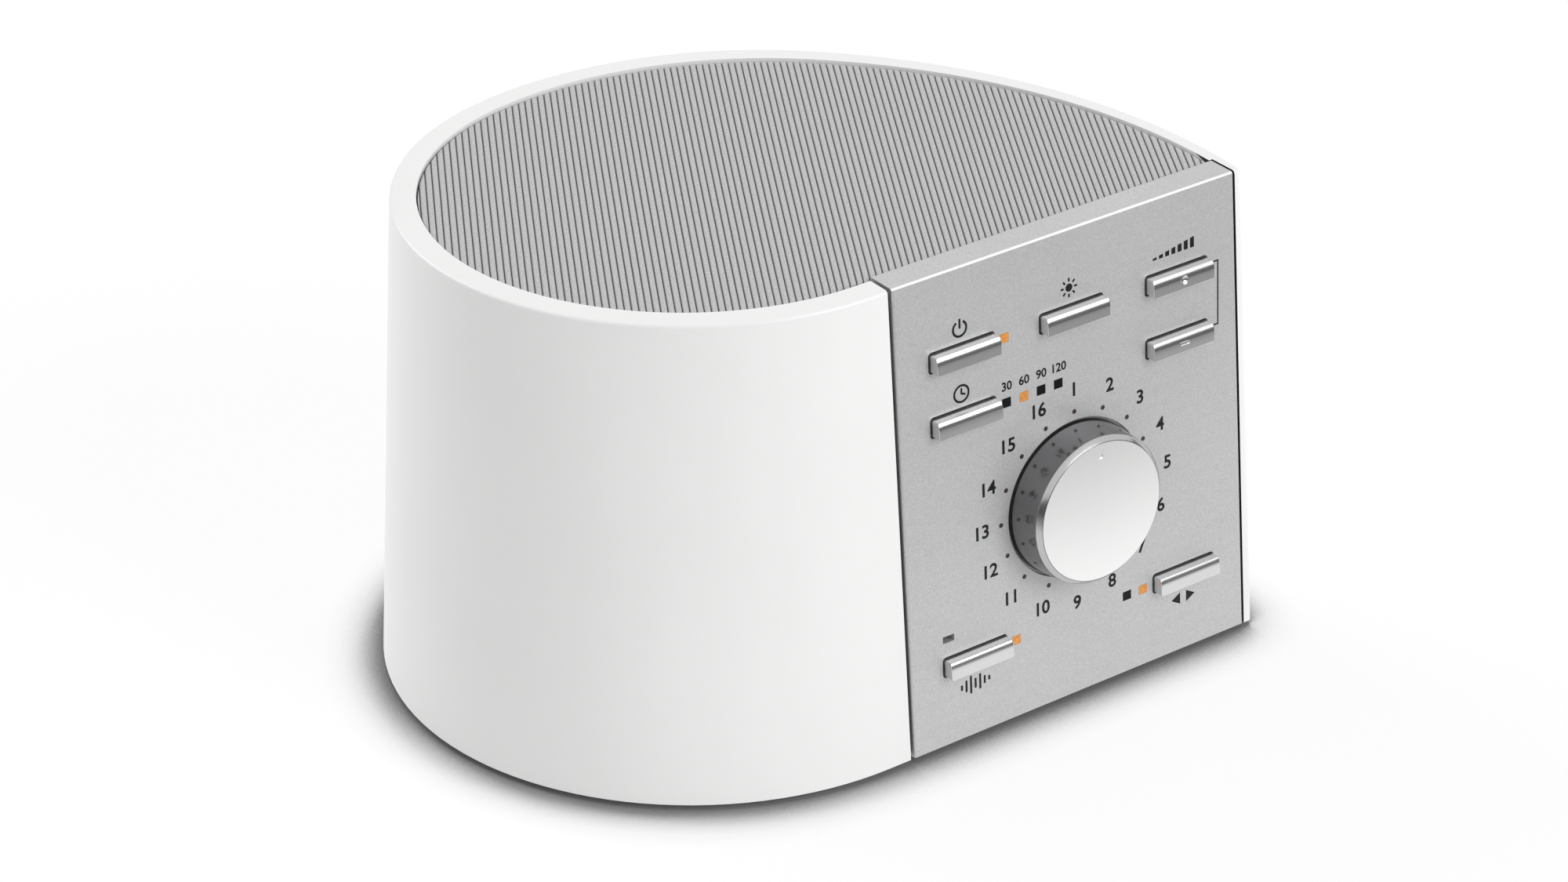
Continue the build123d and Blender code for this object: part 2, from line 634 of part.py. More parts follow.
with BuildPart() as outer_shell:
    with BuildSketch(level(FOOT_STAND)):
        add(outline(radii_at(FOOT_STAND)))
    with BuildSketch(level(SHELL_TOP)):
        add(outline(radii_at(SHELL_TOP)))
    loft(ruled=True)
    upright = outer_shell.edges().filter_by(lambda edge: (edge @ 0).Z != (edge @ 1).Z)
    fillet(upright.sort_by(Axis.X)[-1], CORNER_ROUND)
    fillet(outer_shell.faces().sort_by(Axis.Z)[-1].edges(), RIM_ROUND)
    add(cavity.part, mode=Mode.SUBTRACT)
    with BuildSketch(level(SHELL_TOP)):
        add(outline(opening()))
    extrude(amount=-ROOF, mode=Mode.SUBTRACT)
    with BuildSketch(face(PANEL_THICK)):
        Polygon(*panel_outline((LEFT_SEAM, RIGHT_SEAM), -PANEL_THICK, PANEL_THICK), align=None)
    extrude(amount=-PANEL_THICK - STRIP_DEPTH - FIT_GAP, mode=Mode.SUBTRACT)
    with BuildSketch(level(BASE_TOP)):
        for angle in BASE_BOSS_ANGLES:
            seat = on_outline(angle, radii_at(FOOT_STAND, BASE_BOSS_INSET))
            with Locations((seat.X, seat.Y)):
                Circle(CASE_SCREW_R + RUNNING_GAP)
    extrude(amount=BASE_BOSS_LENGTH - WALL, mode=Mode.SUBTRACT)
    with BuildSketch(level(DECK_BOTTOM)):
        for angle in DECK_BOSS_ANGLES:
            seat = on_outline(angle, opening(DECK_BOSS_INSET))
            with Locations((seat.X, seat.Y)):
                Circle(CASE_SCREW_R + RUNNING_GAP)
    extrude(amount=WALL - DECK_BOSS_LENGTH, mode=Mode.SUBTRACT)
    with BuildSketch(face(-LUG_DEPTH)):
        with Locations(*[(u, row) for u in (LUG_LEFT_U, LUG_RIGHT_U) for row in LUG_ROWS]):
            Circle(CASE_SCREW_R + FIT_GAP)
    extrude(amount=-LUG_THICK, mode=Mode.SUBTRACT)
    with BuildSketch(Plane.XZ.offset(-JACK_PLATE_FACE / 2)):
        with Locations((BOWL_X + JACK_PLATE_X, JACK_PLATE_Z)):
            Rectangle(JACK_PLATE_WIDTH + 2 * FIT_GAP, JACK_PLATE_HEIGHT + 2 * FIT_GAP)
    extrude(amount=-JACK_PLATE_FACE, mode=Mode.SUBTRACT)
finish(outer_shell, "outer_shell")

# The panel: a leaning plate with a flat strip along its top, side returns, and the bosses behind it.
with BuildPart() as front_panel:
    with BuildSketch(face()):
        Polygon(*panel_outline((0, 0), -PANEL_THICK, PANEL_THICK), align=None)
    extrude(amount=-PANEL_THICK)
    with BuildSketch(face()):
        Polygon(*panel_outline((0, 0), RETURN_START, 0), align=None)
        Polygon(*panel_outline((-RETURN_THICK, -RETURN_THICK), RETURN_START, 0), align=None, mode=Mode.SUBTRACT)
    extrude(amount=-RETURN_DEPTH)
    split(bisect_by=Plane.XY.offset(SHELL_TOP), keep=Keep.BOTTOM)
    split(bisect_by=Plane.XY.offset(FOOT_STAND), keep=Keep.TOP)
    with BuildSketch(level(SHELL_TOP)):
        with Locations((PANEL_LEFT_TOP, -LEFT_RIM_R)):
            Rectangle(PANEL_RIGHT_TOP - PANEL_LEFT_TOP, STRIP_DEPTH, align=Align.MIN)
    extrude(amount=-PANEL_THICK)
    top_front = front_panel.faces().sort_by(Axis.Z)[-1].edges().sort_by(Axis.Y)[0]
    chamfer(top_front, PANEL_EDGE_BEVEL)
    left_front = front_panel.faces().sort_by(lambda surface: surface.area)[-2:].sort_by(Axis.Y)[0].edges()
    fillet(left_front.sort_by(Axis.X)[0], PANEL_SIDE_ROUND)
    with BuildSketch(face(-PANEL_THICK)):
        with Locations(*[(u, row) for u in (LUG_LEFT_U, LUG_RIGHT_U) for row in LUG_ROWS]):
            Circle(PANEL_BOSS_R)
    extrude(amount=PANEL_THICK - LUG_DEPTH)
    with BuildSketch(face(-PANEL_THICK)):
        with Locations(*BOARD_POSTS):
            Circle(BOARD_POST_D / 2)
    extrude(amount=PANEL_THICK - BOARD_DEPTH)
    with BuildSketch(face()):
        for u, w in KEY_PLACES.values():
            with Locations((u, w)):
                RectangleRounded(KEY_LENGTH + 2 * KEY_GAP, KEY_HEIGHT + 2 * KEY_GAP, KEY_HOLE_ROUND)
        with Locations(*LIT_LENSES, *DARK_LENSES):
            Rectangle(LENS_WIDTH + 2 * RUNNING_GAP, LENS_HEIGHT + 2 * RUNNING_GAP)
        with Locations(MIC_SLOT):
            Rectangle(MIC_SLOT_WIDTH, MIC_SLOT_HEIGHT)
        with Locations((KNOB_U, KNOB_W)):
            Circle(BUSHING_R + BUSHING_GAP)
    extrude(amount=-PANEL_THICK, mode=Mode.SUBTRACT)
    with BuildSketch(face()):
        with Locations((KNOB_U, KNOB_W)):
            Circle(KNOB_WELL_R)
    extrude(amount=-KNOB_WELL_DEPTH, mode=Mode.SUBTRACT)
    with BuildSketch(face(-LUG_DEPTH)):
        with Locations(*[(u, row) for u in (LUG_LEFT_U, LUG_RIGHT_U) for row in LUG_ROWS]):
            Circle(CASE_SCREW_R + RUNNING_GAP)
    extrude(amount=LUG_DEPTH - PANEL_THICK, mode=Mode.SUBTRACT)
    with BuildSketch(face(-BOARD_DEPTH)):
        with Locations(*BOARD_POSTS):
            Circle(BOARD_SCREW_R + RUNNING_GAP)
    extrude(amount=BOARD_SCREW_LENGTH + FIT_GAP, mode=Mode.SUBTRACT)
finish(front_panel, "front_panel")

with BuildPart() as base_plate:
    with BuildSketch(level(FOOT_STAND)):
        add(outline(radii_at(FOOT_STAND, WALL + FIT_GAP)))
        with Locations((BAY_X, BAY_Y)):
            Rectangle(BAY_HOLE_WIDTH, BAY_HOLE_LENGTH, mode=Mode.SUBTRACT)
    extrude(amount=BASE_THICK)
    with BuildSketch(level(BASE_TOP)):
        with Locations(*MAIN_POSTS):
            Circle(BOARD_POST_D / 2)
    extrude(amount=MAIN_BOARD_Z - BASE_TOP)
    with BuildSketch(level(MAIN_BOARD_Z)):
        with Locations(*MAIN_POSTS):
            Circle(BOARD_SCREW_R + RUNNING_GAP)
    extrude(amount=BASE_TOP - MAIN_BOARD_Z, mode=Mode.SUBTRACT)
    with BuildSketch(level(FOOT_STAND)):
        with Locations(*FEET):
            Circle(FOOT_R + RUNNING_GAP)
    extrude(amount=FOOT_SEAT, mode=Mode.SUBTRACT)
    for angle in BASE_BOSS_ANGLES:
        seat = on_outline(angle, radii_at(FOOT_STAND, BASE_BOSS_INSET))
        with BuildSketch(level(FOOT_STAND)):
            with Locations((seat.X, seat.Y)):
                Circle(CASE_HEAD_R + FIT_GAP)
        extrude(amount=CASE_HEAD, mode=Mode.SUBTRACT)
        with BuildSketch(level(FOOT_STAND)):
            with Locations((seat.X, seat.Y)):
                Circle(CASE_SCREW_R + FIT_GAP)
        extrude(amount=BASE_THICK, mode=Mode.SUBTRACT)
    for side in (-1, 1):
        with BuildSketch(hinge_end(side, BAY_HOLE_WIDTH / 2)):
            Circle(HINGE_PIN_R + HINGE_CLEARANCE)
        extrude(amount=HINGE_PIN_LENGTH, mode=Mode.SUBTRACT)
finish(base_plate, "base_plate")

with BuildPart() as battery_door:
    with BuildSketch(level(FOOT_STAND)):
        with Locations((BAY_X, BAY_Y)):
            Rectangle(DOOR_WIDTH, DOOR_LENGTH)
    extrude(amount=DOOR_THICK)
    rear = battery_door.edges().filter_by(Axis.X).group_by(Axis.Y)[-1]
    fillet(rear, HINGE_ROUND)
    for side in (-1, 1):
        with BuildSketch(hinge_end(side, DOOR_WIDTH / 2)):
            Circle(HINGE_PIN_R)
        extrude(amount=HINGE_PIN_LENGTH)
    with BuildSketch(level(FOOT_STAND)):
        with Locations((BAY_X, BAY_Y - DOOR_LENGTH / 2 + THUMB_R + 2 * DOOR_THICK)):
            Circle(THUMB_R)
            Rectangle(2 * THUMB_R, THUMB_R, align=(Align.CENTER, Align.MIN), mode=Mode.SUBTRACT)
    extrude(amount=THUMB_DEPTH, mode=Mode.SUBTRACT)
    with BuildSketch(level(FOOT_STAND + DOOR_THICK)):
        with Locations((BAY_X, BAY_Y - BAY_LENGTH / 2 + CATCH_THICK)):
            Rectangle(CATCH_WIDTH, CATCH_THICK)
    extrude(amount=CATCH_HEIGHT)
finish(battery_door, "battery_door")

# A five-sided box over the cell bay, with a flange that lies on the base plate round the door.
with BuildPart() as battery_box:
    with BuildSketch(level(BASE_TOP)):
        with Locations((BAY_X, BAY_Y)):
            Rectangle(BAY_WIDTH + 2 * (BAY_WALL + BAY_FLANGE), BAY_LENGTH + 2 * (BAY_WALL + BAY_FLANGE))
    extrude(amount=BAY_FLANGE_THICK)
    with BuildSketch(level(BASE_TOP)):
        with Locations((BAY_X, BAY_Y)):
            Rectangle(BAY_WIDTH + 2 * BAY_WALL, BAY_LENGTH + 2 * BAY_WALL)
    extrude(amount=BAY_HEIGHT + BAY_WALL)
    with BuildSketch(level(BASE_TOP)):
        with Locations((BAY_X, BAY_Y)):
            Rectangle(BAY_WIDTH, BAY_LENGTH)
    extrude(amount=BAY_HEIGHT, mode=Mode.SUBTRACT)
finish(battery_box, "battery_box")

with BuildPart() as battery_contacts:
    for side in (-1, 1):
        wall_y = BAY_Y + side * (BAY_LENGTH - CONTACT_THICK) / 2
        with BuildSketch(level(CELL_Z - CONTACT_SIZE / 2)):
            with Locations(*[(cell_x, wall_y) for cell_x in CELL_PLACES]):
                Rectangle(CONTACT_SIZE, CONTACT_THICK)
        extrude(amount=CONTACT_SIZE)
finish(battery_contacts, "battery_contacts")

# A bowed leaf presses on the flat end of each cell, at the front and the rear of the bay in turn.
with BuildPart() as battery_springs:
    for number, cell_x in enumerate(CELL_PLACES):
        side = 1 if number % 2 else -1
        seat = (BOWL_X + cell_x, BOWL_Y + BAY_Y + side * (BAY_LENGTH / 2 - CONTACT_THICK), CELL_Z)
        with BuildSketch(Plane(origin=seat, x_dir=(0, -side, 0), z_dir=(side, 0, 0))):
            with BuildLine():
                bow = ThreePointArc((0, -SPRING_SPAN / 2), (SPRING_LENGTH, 0), (0, SPRING_SPAN / 2))
                hollow_end = SPRING_SPAN / 2 - SPRING_STRIP
                hollow = ThreePointArc((0, -hollow_end), (SPRING_LENGTH - SPRING_STRIP, 0), (0, hollow_end))
                Line(bow @ 0, hollow @ 0)
                Line(bow @ 1, hollow @ 1)
            make_face()
        extrude(amount=SPRING_WIDTH / 2, both=True)
finish(battery_springs, "battery_springs")

with BuildPart() as rubber_feet:
    with BuildSketch(level(0)):
        with Locations(*FEET):
            Circle(FOOT_R)
    extrude(amount=FOOT_STAND + FOOT_SEAT)
    chamfer(rubber_feet.faces().group_by(Axis.Z)[0].edges(), FOOT_CHAMFER)
finish(rubber_feet, "rubber_feet")

with BuildPart() as jack_plate:
    with BuildSketch(jack_face()):
        Rectangle(JACK_PLATE_WIDTH, JACK_PLATE_HEIGHT)
    extrude(amount=-JACK_PLATE_STEP)
    with BuildSketch(jack_face(-JACK_PLATE_STEP)):
        Rectangle(JACK_PLATE_WIDTH + 2 * JACK_PLATE_LIP, JACK_PLATE_HEIGHT + 2 * JACK_PLATE_LIP)
    extrude(amount=-JACK_PLATE_FLANGE)
    with BuildSketch(jack_face()):
        for shift, axis_z, barrel_r in JACKS.values():
            with Locations((-shift, axis_z - JACK_PLATE_Z)):
                Circle(barrel_r + FIT_GAP)
    extrude(amount=-JACK_PLATE_STEP - JACK_PLATE_FLANGE, mode=Mode.SUBTRACT)
finish(jack_plate, "jack_plate")

# ================================================================ fasteners
with BuildPart() as case_screws:
    base_places = [on_outline(angle, radii_at(FOOT_STAND, BASE_BOSS_INSET)) for angle in BASE_BOSS_ANGLES]
    under = Plane(origin=(BOWL_X, BOWL_Y, FOOT_STAND + CASE_HEAD), x_dir=(1, 0, 0), z_dir=(0, 0, -1))
    base_seats = [(place.X, -place.Y) for place in base_places]
    screws(under, base_seats, CASE_SCREW_R, BASE_SCREW_LENGTH, CASE_HEAD_R, CASE_HEAD)
    deck_places = [on_outline(angle, opening(DECK_BOSS_INSET)) for angle in DECK_BOSS_ANGLES]
    deck_seats = [(place.X, place.Y) for place in deck_places]
    screws(level(DECK_TOP), deck_seats, CASE_SCREW_R, DECK_SCREW_LENGTH, CASE_HEAD_R, CASE_HEAD)
    behind_lugs = face_from_behind(LUG_DEPTH + LUG_THICK)
    lug_seats = [(-u, row) for u in (LUG_LEFT_U, LUG_RIGHT_U) for row in LUG_ROWS]
    screws(behind_lugs, lug_seats, CASE_SCREW_R, PANEL_SCREW_LENGTH, CASE_HEAD_R, CASE_HEAD)
finish(case_screws, "case_screws")

with BuildPart() as board_screws:
    behind_board = face_from_behind(BOARD_DEPTH + BOARD_THICK)
    post_seats = [(-u, row) for u, row in BOARD_POSTS]
    screws(behind_board, post_seats, BOARD_SCREW_R, BOARD_SCREW_LENGTH, BOARD_HEAD_R, BOARD_HEAD)
    screws(level(MAIN_BOARD_TOP), MAIN_POSTS, BOARD_SCREW_R, BOARD_SCREW_LENGTH, BOARD_HEAD_R, BOARD_HEAD)
    under_flange = Plane(
        origin=(BOWL_X, BOWL_Y, DECK_BOTTOM - SPEAKER_FLANGE), x_dir=(1, 0, 0), z_dir=(0, 0, -1)
    )
    flange_seats = [(x, -y) for x, y in SPEAKER_SCREWS]
    screws(under_flange, flange_seats, BOARD_SCREW_R, SPEAKER_SCREW_LENGTH, BOARD_HEAD_R, BOARD_HEAD)
finish(board_screws, "board_screws")

# ================================================================ grille and deck
with BuildPart() as speaker_deck:
    with BuildSketch(level(DECK_BOTTOM)):
        add(outline(opening(DECK_GAP), DECK_FRONT_Y))
        with Locations((SPEAKER_X, SPEAKER_Y)):
            Circle(SPEAKER_HOLE_R, mode=Mode.SUBTRACT)
        with Locations(*deck_seats):
            Circle(CASE_SCREW_R + FIT_GAP, mode=Mode.SUBTRACT)
    extrude(amount=DECK_THICK)
    with BuildSketch(level(DECK_TOP)):
        with Locations(*SPEAKER_SCREWS):
            Circle(DECK_POST_R)
    extrude(amount=DECK_POST_RISE)
    with BuildSketch(level(DECK_BOTTOM)):
        with Locations(*SPEAKER_SCREWS):
            Circle(BOARD_SCREW_R + RUNNING_GAP)
    extrude(amount=SPEAKER_SCREW_LENGTH, mode=Mode.SUBTRACT)
finish(speaker_deck, "speaker_deck")

# A lattice under the cloth, with a skirt that stands on the deck.
with BuildPart() as grille_carrier:
    with BuildSketch(level(DECK_TOP)):
        add(outline(opening(DECK_GAP), DECK_FRONT_Y))
        add(outline(opening(DECK_GAP + CARRIER_SKIRT), DECK_FRONT_Y + CARRIER_SKIRT), mode=Mode.SUBTRACT)
    extrude(amount=CARRIER_TOP - DECK_TOP)
    with BuildSketch(level(CARRIER_TOP)):
        add(outline(opening(FIT_GAP), STRIP_BACK_Y + FIT_GAP))
    extrude(amount=-CARRIER_THICK)
    with BuildSketch(level(CARRIER_TOP)):
        rim = FIT_GAP + CARRIER_SKIRT + LATTICE_BAR
        add(outline(opening(rim), STRIP_BACK_Y + rim))
        for n in range(-LATTICE_BARS, LATTICE_BARS + 1):
            with Locations((SPEAKER_X + n * LATTICE_PITCH, 0)):
                Rectangle(LATTICE_BAR, 2 * SIDE_RIM_R, mode=Mode.SUBTRACT)
            with Locations((0, SPEAKER_Y + n * LATTICE_PITCH)):
                Rectangle(2 * SIDE_RIM_R, LATTICE_BAR, mode=Mode.SUBTRACT)
    extrude(amount=-CARRIER_THICK, mode=Mode.SUBTRACT)
finish(grille_carrier, "grille_carrier")

with BuildPart() as grille_cloth:
    with BuildSketch(level(CARRIER_TOP)):
        add(outline(opening(CLOTH_GAP), STRIP_BACK_Y + CLOTH_GAP))
    extrude(amount=CLOTH_THICK)
finish(grille_cloth, "grille_cloth")

# ================================================================ loudspeaker
SPEAKER = Plane(origin=(BOWL_X + SPEAKER_X, BOWL_Y + SPEAKER_Y, DECK_BOTTOM))
PROFILE = Plane(origin=SPEAKER.origin, x_dir=(1, 0, 0), z_dir=(0, -1, 0))
AXIS = Axis(SPEAKER.origin, (0, 0, 1))

with BuildPart() as speaker_basket:
    with BuildSketch(SPEAKER):
        RectangleRounded(SPEAKER_FRAME, SPEAKER_FRAME, SPEAKER_FRAME_ROUND)
        Circle(BASKET_INNER_R, mode=Mode.SUBTRACT)
        with GridLocations(SPEAKER_SCREW_SPAN, SPEAKER_SCREW_SPAN, 2, 2):
            Circle(BOARD_SCREW_R + FIT_GAP, mode=Mode.SUBTRACT)
    extrude(amount=-SPEAKER_FLANGE)
    with BuildSketch(PROFILE):
        Polygon(
            (BASKET_INNER_R, 0),
            (BASKET_INNER_R + BASKET_WALL, 0),
            (BASKET_SHELF_R + BASKET_WALL, -BASKET_SHELF_DROP - BASKET_WALL),
            (BASKET_SHELF_R, -BASKET_SHELF_DROP - BASKET_WALL),
            (BASKET_SHELF_R, -BASKET_DEPTH),
            (BASKET_NECK_R, -BASKET_DEPTH),
            (BASKET_NECK_R, BASKET_WALL - BASKET_DEPTH),
            (BASKET_SHELF_R - BASKET_WALL, BASKET_WALL - BASKET_DEPTH),
            (BASKET_SHELF_R - BASKET_WALL, -BASKET_SHELF_DROP - BASKET_WALL),
            (BASKET_SHELF_INNER_R, -BASKET_SHELF_DROP - BASKET_WALL),
            (BASKET_SHELF_INNER_R, -BASKET_SHELF_DROP),
            (BASKET_SHELF_R, -BASKET_SHELF_DROP),
            align=None,
        )
    revolve(axis=AXIS)
    with BuildSketch(SPEAKER.offset(-SPEAKER_FLANGE - BASKET_WALL)):
        with PolarLocations(BASKET_INNER_R, BASKET_WINDOWS):
            Rectangle(2 * (BASKET_INNER_R - BASKET_SHELF_R), BASKET_WINDOW_WIDTH)
    extrude(amount=-BASKET_SHELF_DROP + SPEAKER_FLANGE + 2 * BASKET_WALL, mode=Mode.SUBTRACT)
finish(speaker_basket, "speaker_basket")

with BuildPart() as speaker_top_plate:
    with BuildSketch(SPEAKER.offset(-BASKET_DEPTH)):
        Circle(PLATE_R)
        Circle(GAP_OUTER_R, mode=Mode.SUBTRACT)
    extrude(amount=-PLATE_THICK)
finish(speaker_top_plate, "speaker_top_plate")

with BuildPart() as speaker_magnet:
    with BuildSketch(SPEAKER.offset(-BASKET_DEPTH - PLATE_THICK)):
        Circle(MAGNET_R)
        Circle(MAGNET_R / 2, mode=Mode.SUBTRACT)
    extrude(amount=-MAGNET_THICK)
finish(speaker_magnet, "speaker_magnet")

with BuildPart() as speaker_yoke:
    with BuildSketch(SPEAKER.offset(-BASKET_DEPTH - PLATE_THICK - MAGNET_THICK)):
        Circle(PLATE_R)
    extrude(amount=-PLATE_THICK)
    with BuildSketch(SPEAKER.offset(-BASKET_DEPTH - PLATE_THICK - MAGNET_THICK)):
        Circle(POLE_R)
    extrude(amount=PLATE_THICK + MAGNET_THICK)
finish(speaker_yoke, "speaker_yoke")

with BuildPart() as voice_coil:
    with BuildSketch(SPEAKER.offset(-CONE_DEPTH)):
        Circle(COIL_OUTER_R)
        Circle(COIL_INNER_R, mode=Mode.SUBTRACT)
    extrude(amount=-COIL_LENGTH)
finish(voice_coil, "voice_coil")

with BuildPart() as speaker_cone:
    with BuildSketch(PROFILE):
        Polygon(
            (CONE_NECK_R + RUNNING_GAP, -CONE_DEPTH),
            (CONE_NECK_R + RUNNING_GAP + CONE_SKIN, -CONE_DEPTH - CONE_SKIN),
            (SURROUND_INNER_R + CONE_SKIN, -CONE_SKIN),
            (CONE_RIM_R, -CONE_SKIN),
            (CONE_RIM_R, 0),
            (SURROUND_INNER_R, 0),
            align=None,
        )
    revolve(axis=AXIS)
finish(speaker_cone, "speaker_cone")

with BuildPart() as dust_cap:
    with BuildSketch(PROFILE):
        with Locations((0, CAP_Z + CAP_RISE - CAP_SPHERE_R)):
            Circle(CAP_SPHERE_R)
            Circle(CAP_SPHERE_R - CONE_SKIN, mode=Mode.SUBTRACT)
        with Locations((0, CAP_Z)):
            Rectangle(CAP_R, 2 * CAP_RISE, align=Align.MIN, mode=Mode.INTERSECT)
    revolve(axis=AXIS)
finish(dust_cap, "dust_cap")

with BuildPart() as speaker_surround:
    with BuildSketch(PROFILE):
        with Locations((SURROUND_MID_R, 0)):
            Circle(SURROUND_ROLL_R)
            Rectangle(4 * SURROUND_ROLL_R, SURROUND_ROLL_R, align=(Align.CENTER, Align.MAX), mode=Mode.SUBTRACT)
        with Locations((SURROUND_INNER_R, 0)):
            Rectangle(SURROUND_OUTER_R - SURROUND_INNER_R, SURROUND_SKIN, align=Align.MIN)
        with Locations((SURROUND_MID_R, 0)):
            Circle(SURROUND_ROLL_R - SURROUND_SKIN, mode=Mode.SUBTRACT)
    revolve(axis=AXIS)
finish(speaker_surround, "speaker_surround")

with BuildPart() as speaker_spider:
    with BuildSketch(SPEAKER.offset(-BASKET_SHELF_DROP)):
        Circle(BASKET_SHELF_R - BASKET_WALL)
        Circle(COIL_OUTER_R + FIT_GAP, mode=Mode.SUBTRACT)
    extrude(amount=SPIDER_THICK)
finish(speaker_spider, "speaker_spider")

# ================================================================ control board and its parts
with BuildPart() as control_board:
    with BuildSketch(face(-BOARD_DEPTH)):
        with Locations((BOARD_LEFT, BOARD_BOTTOM)):
            Rectangle(BOARD_RIGHT - BOARD_LEFT, BOARD_TOP - BOARD_BOTTOM, align=Align.MIN)
        with Locations(*BOARD_POSTS):
            Circle(BOARD_SCREW_R + FIT_GAP, mode=Mode.SUBTRACT)
    extrude(amount=-BOARD_THICK)
finish(control_board, "control_board")

with BuildPart() as switch_bodies:
    with BuildSketch(face(-BOARD_DEPTH)):
        with Locations(*KEY_PLACES.values()):
            Rectangle(SWITCH_SIZE, SWITCH_SIZE)
    extrude(amount=SWITCH_HEIGHT)
    with BuildSketch(face(SWITCH_HEIGHT - BOARD_DEPTH)):
        with Locations(*KEY_PLACES.values()):
            Circle(PLUNGER_R + RUNNING_GAP)
    extrude(amount=-PLUNGER_SEAT - KEY_TRAVEL - RUNNING_GAP, mode=Mode.SUBTRACT)
finish(switch_bodies, "switch_bodies")

with BuildPart() as led_emitters:
    with BuildSketch(face(-BOARD_DEPTH)):
        with Locations(*LIT_LENSES, *DARK_LENSES):
            Rectangle(EMITTER_WIDTH, EMITTER_HEIGHT)
    extrude(amount=EMITTER_THICK)
finish(led_emitters, "led_emitters")

for label, places in (("led_lenses_lit", LIT_LENSES), ("led_lenses_dark", DARK_LENSES)):
    with BuildPart() as lenses:
        with BuildSketch(face()):
            with Locations(*places):
                Rectangle(LENS_WIDTH, LENS_HEIGHT)
        extrude(amount=EMITTER_THICK + LENS_GAP - BOARD_DEPTH)
    finish(lenses, label)

with BuildPart() as microphone_boot:
    with BuildSketch(face(-PANEL_THICK)):
        with Locations((MIC_SLOT[0], MIC_SLOT[1] + MIC_RISE)):
            Circle(MIC_R + RUNNING_GAP + BOOT_WALL)
    extrude(amount=-MIC_STANDOFF - MIC_LENGTH - BOOT_BACK)
    with BuildSketch(face(-PANEL_THICK)):
        with Locations((MIC_SLOT[0], MIC_SLOT[1] + MIC_RISE)):
            Circle(MIC_R + RUNNING_GAP)
    extrude(amount=-MIC_STANDOFF - MIC_LENGTH, mode=Mode.SUBTRACT)
    with BuildSketch(face(-PANEL_THICK - MIC_STANDOFF - MIC_LENGTH)):
        with Locations((MIC_SLOT[0], MIC_SLOT[1] + MIC_RISE)):
            Circle(BOOT_WIRE_R)
    extrude(amount=-BOOT_BACK, mode=Mode.SUBTRACT)
finish(microphone_boot, "microphone_boot")

with BuildPart() as microphone:
    with BuildSketch(face(-PANEL_THICK - MIC_STANDOFF)):
        with Locations((MIC_SLOT[0], MIC_SLOT[1] + MIC_RISE)):
            Circle(MIC_R)
    extrude(amount=-MIC_LENGTH)
finish(microphone, "microphone")

with BuildPart() as selector_body:
    with BuildSketch(face(-BOARD_DEPTH)):
        with Locations((KNOB_U, KNOB_W)):
            RectangleRounded(SELECTOR_SIZE, SELECTOR_SIZE, KNOB_CHAMFER)
    extrude(amount=BOARD_DEPTH - PANEL_THICK - SELECTOR_SHOULDER)
    with BuildSketch(face(-PANEL_THICK - SELECTOR_SHOULDER)):
        with Locations((KNOB_U, KNOB_W)):
            Circle(SELECTOR_SHOULDER_R)
    extrude(amount=SELECTOR_SHOULDER)
    with BuildSketch(face(-PANEL_THICK)):
        with Locations((KNOB_U, KNOB_W)):
            Circle(BUSHING_R)
    extrude(amount=PANEL_THICK + BUSHING_PROUD)
    with BuildSketch(face(BUSHING_PROUD)):
        with Locations((KNOB_U, KNOB_W)):
            Circle(SHAFT_R + RUNNING_GAP)
    extrude(amount=-BUSHING_PROUD - SHAFT_ROOT - RUNNING_GAP, mode=Mode.SUBTRACT)
finish(selector_body, "selector_body")

with BuildPart() as selector_nut:
    with BuildSketch(face(-KNOB_WELL_DEPTH)):
        with Locations((KNOB_U, KNOB_W)):
            RegularPolygon(NUT_ACROSS_FLATS / 2, 6, major_radius=False)
            Circle(BUSHING_R + RUNNING_GAP, mode=Mode.SUBTRACT)
    extrude(amount=NUT_THICK)
finish(selector_nut, "selector_nut")

# ================================================================ knob and keys
with BuildPart() as selector_shaft:
    with BuildSketch(face(-SHAFT_ROOT)):
        with Locations((KNOB_U, KNOB_W)):
            Circle(SHAFT_R)
    extrude(amount=SHAFT_ROOT + HUB_END)
    with BuildSketch(face(HUB_START)):
        with Locations((KNOB_U, KNOB_W)):
            Circle(SHAFT_R)
            add(shaft_profile(0), mode=Mode.SUBTRACT)
    extrude(amount=HUB_END - HUB_START, mode=Mode.SUBTRACT)
finish(selector_shaft, "selector_shaft")

KNOB = face().shift_origin(Vector(face_point(KNOB_U, KNOB_W)))
with BuildPart() as knob_skirt:
    with BuildSketch(section_through(face(), KNOB_U, KNOB_W)):
        Polygon(
            (KNOB_BASE_R, -KNOB_SINK),
            (KNOB_SHOULDER_R, KNOB_SHOULDER),
            (KNOB_FACE_R, KNOB_HEIGHT),
            (KNOB_FACE_R, KNOB_SEAT),
            (0, KNOB_SEAT),
            (0, HUB_START),
            (KNOB_HUB_R, HUB_START),
            (KNOB_HUB_R, KNOB_SEAT - KNOB_WALL),
            (KNOB_SHOULDER_R - KNOB_WALL, KNOB_SEAT - KNOB_WALL),
            (KNOB_BASE_R - KNOB_WALL, -KNOB_SINK),
            align=None,
        )
    revolve(axis=Axis(KNOB.origin, KNOB.z_dir))
    with BuildSketch(face(HUB_START)):
        with Locations((KNOB_U, KNOB_W)):
            add(shaft_profile(RUNNING_GAP))
    extrude(amount=HUB_END - HUB_START + RUNNING_GAP, mode=Mode.SUBTRACT)
finish(knob_skirt, "knob_skirt")

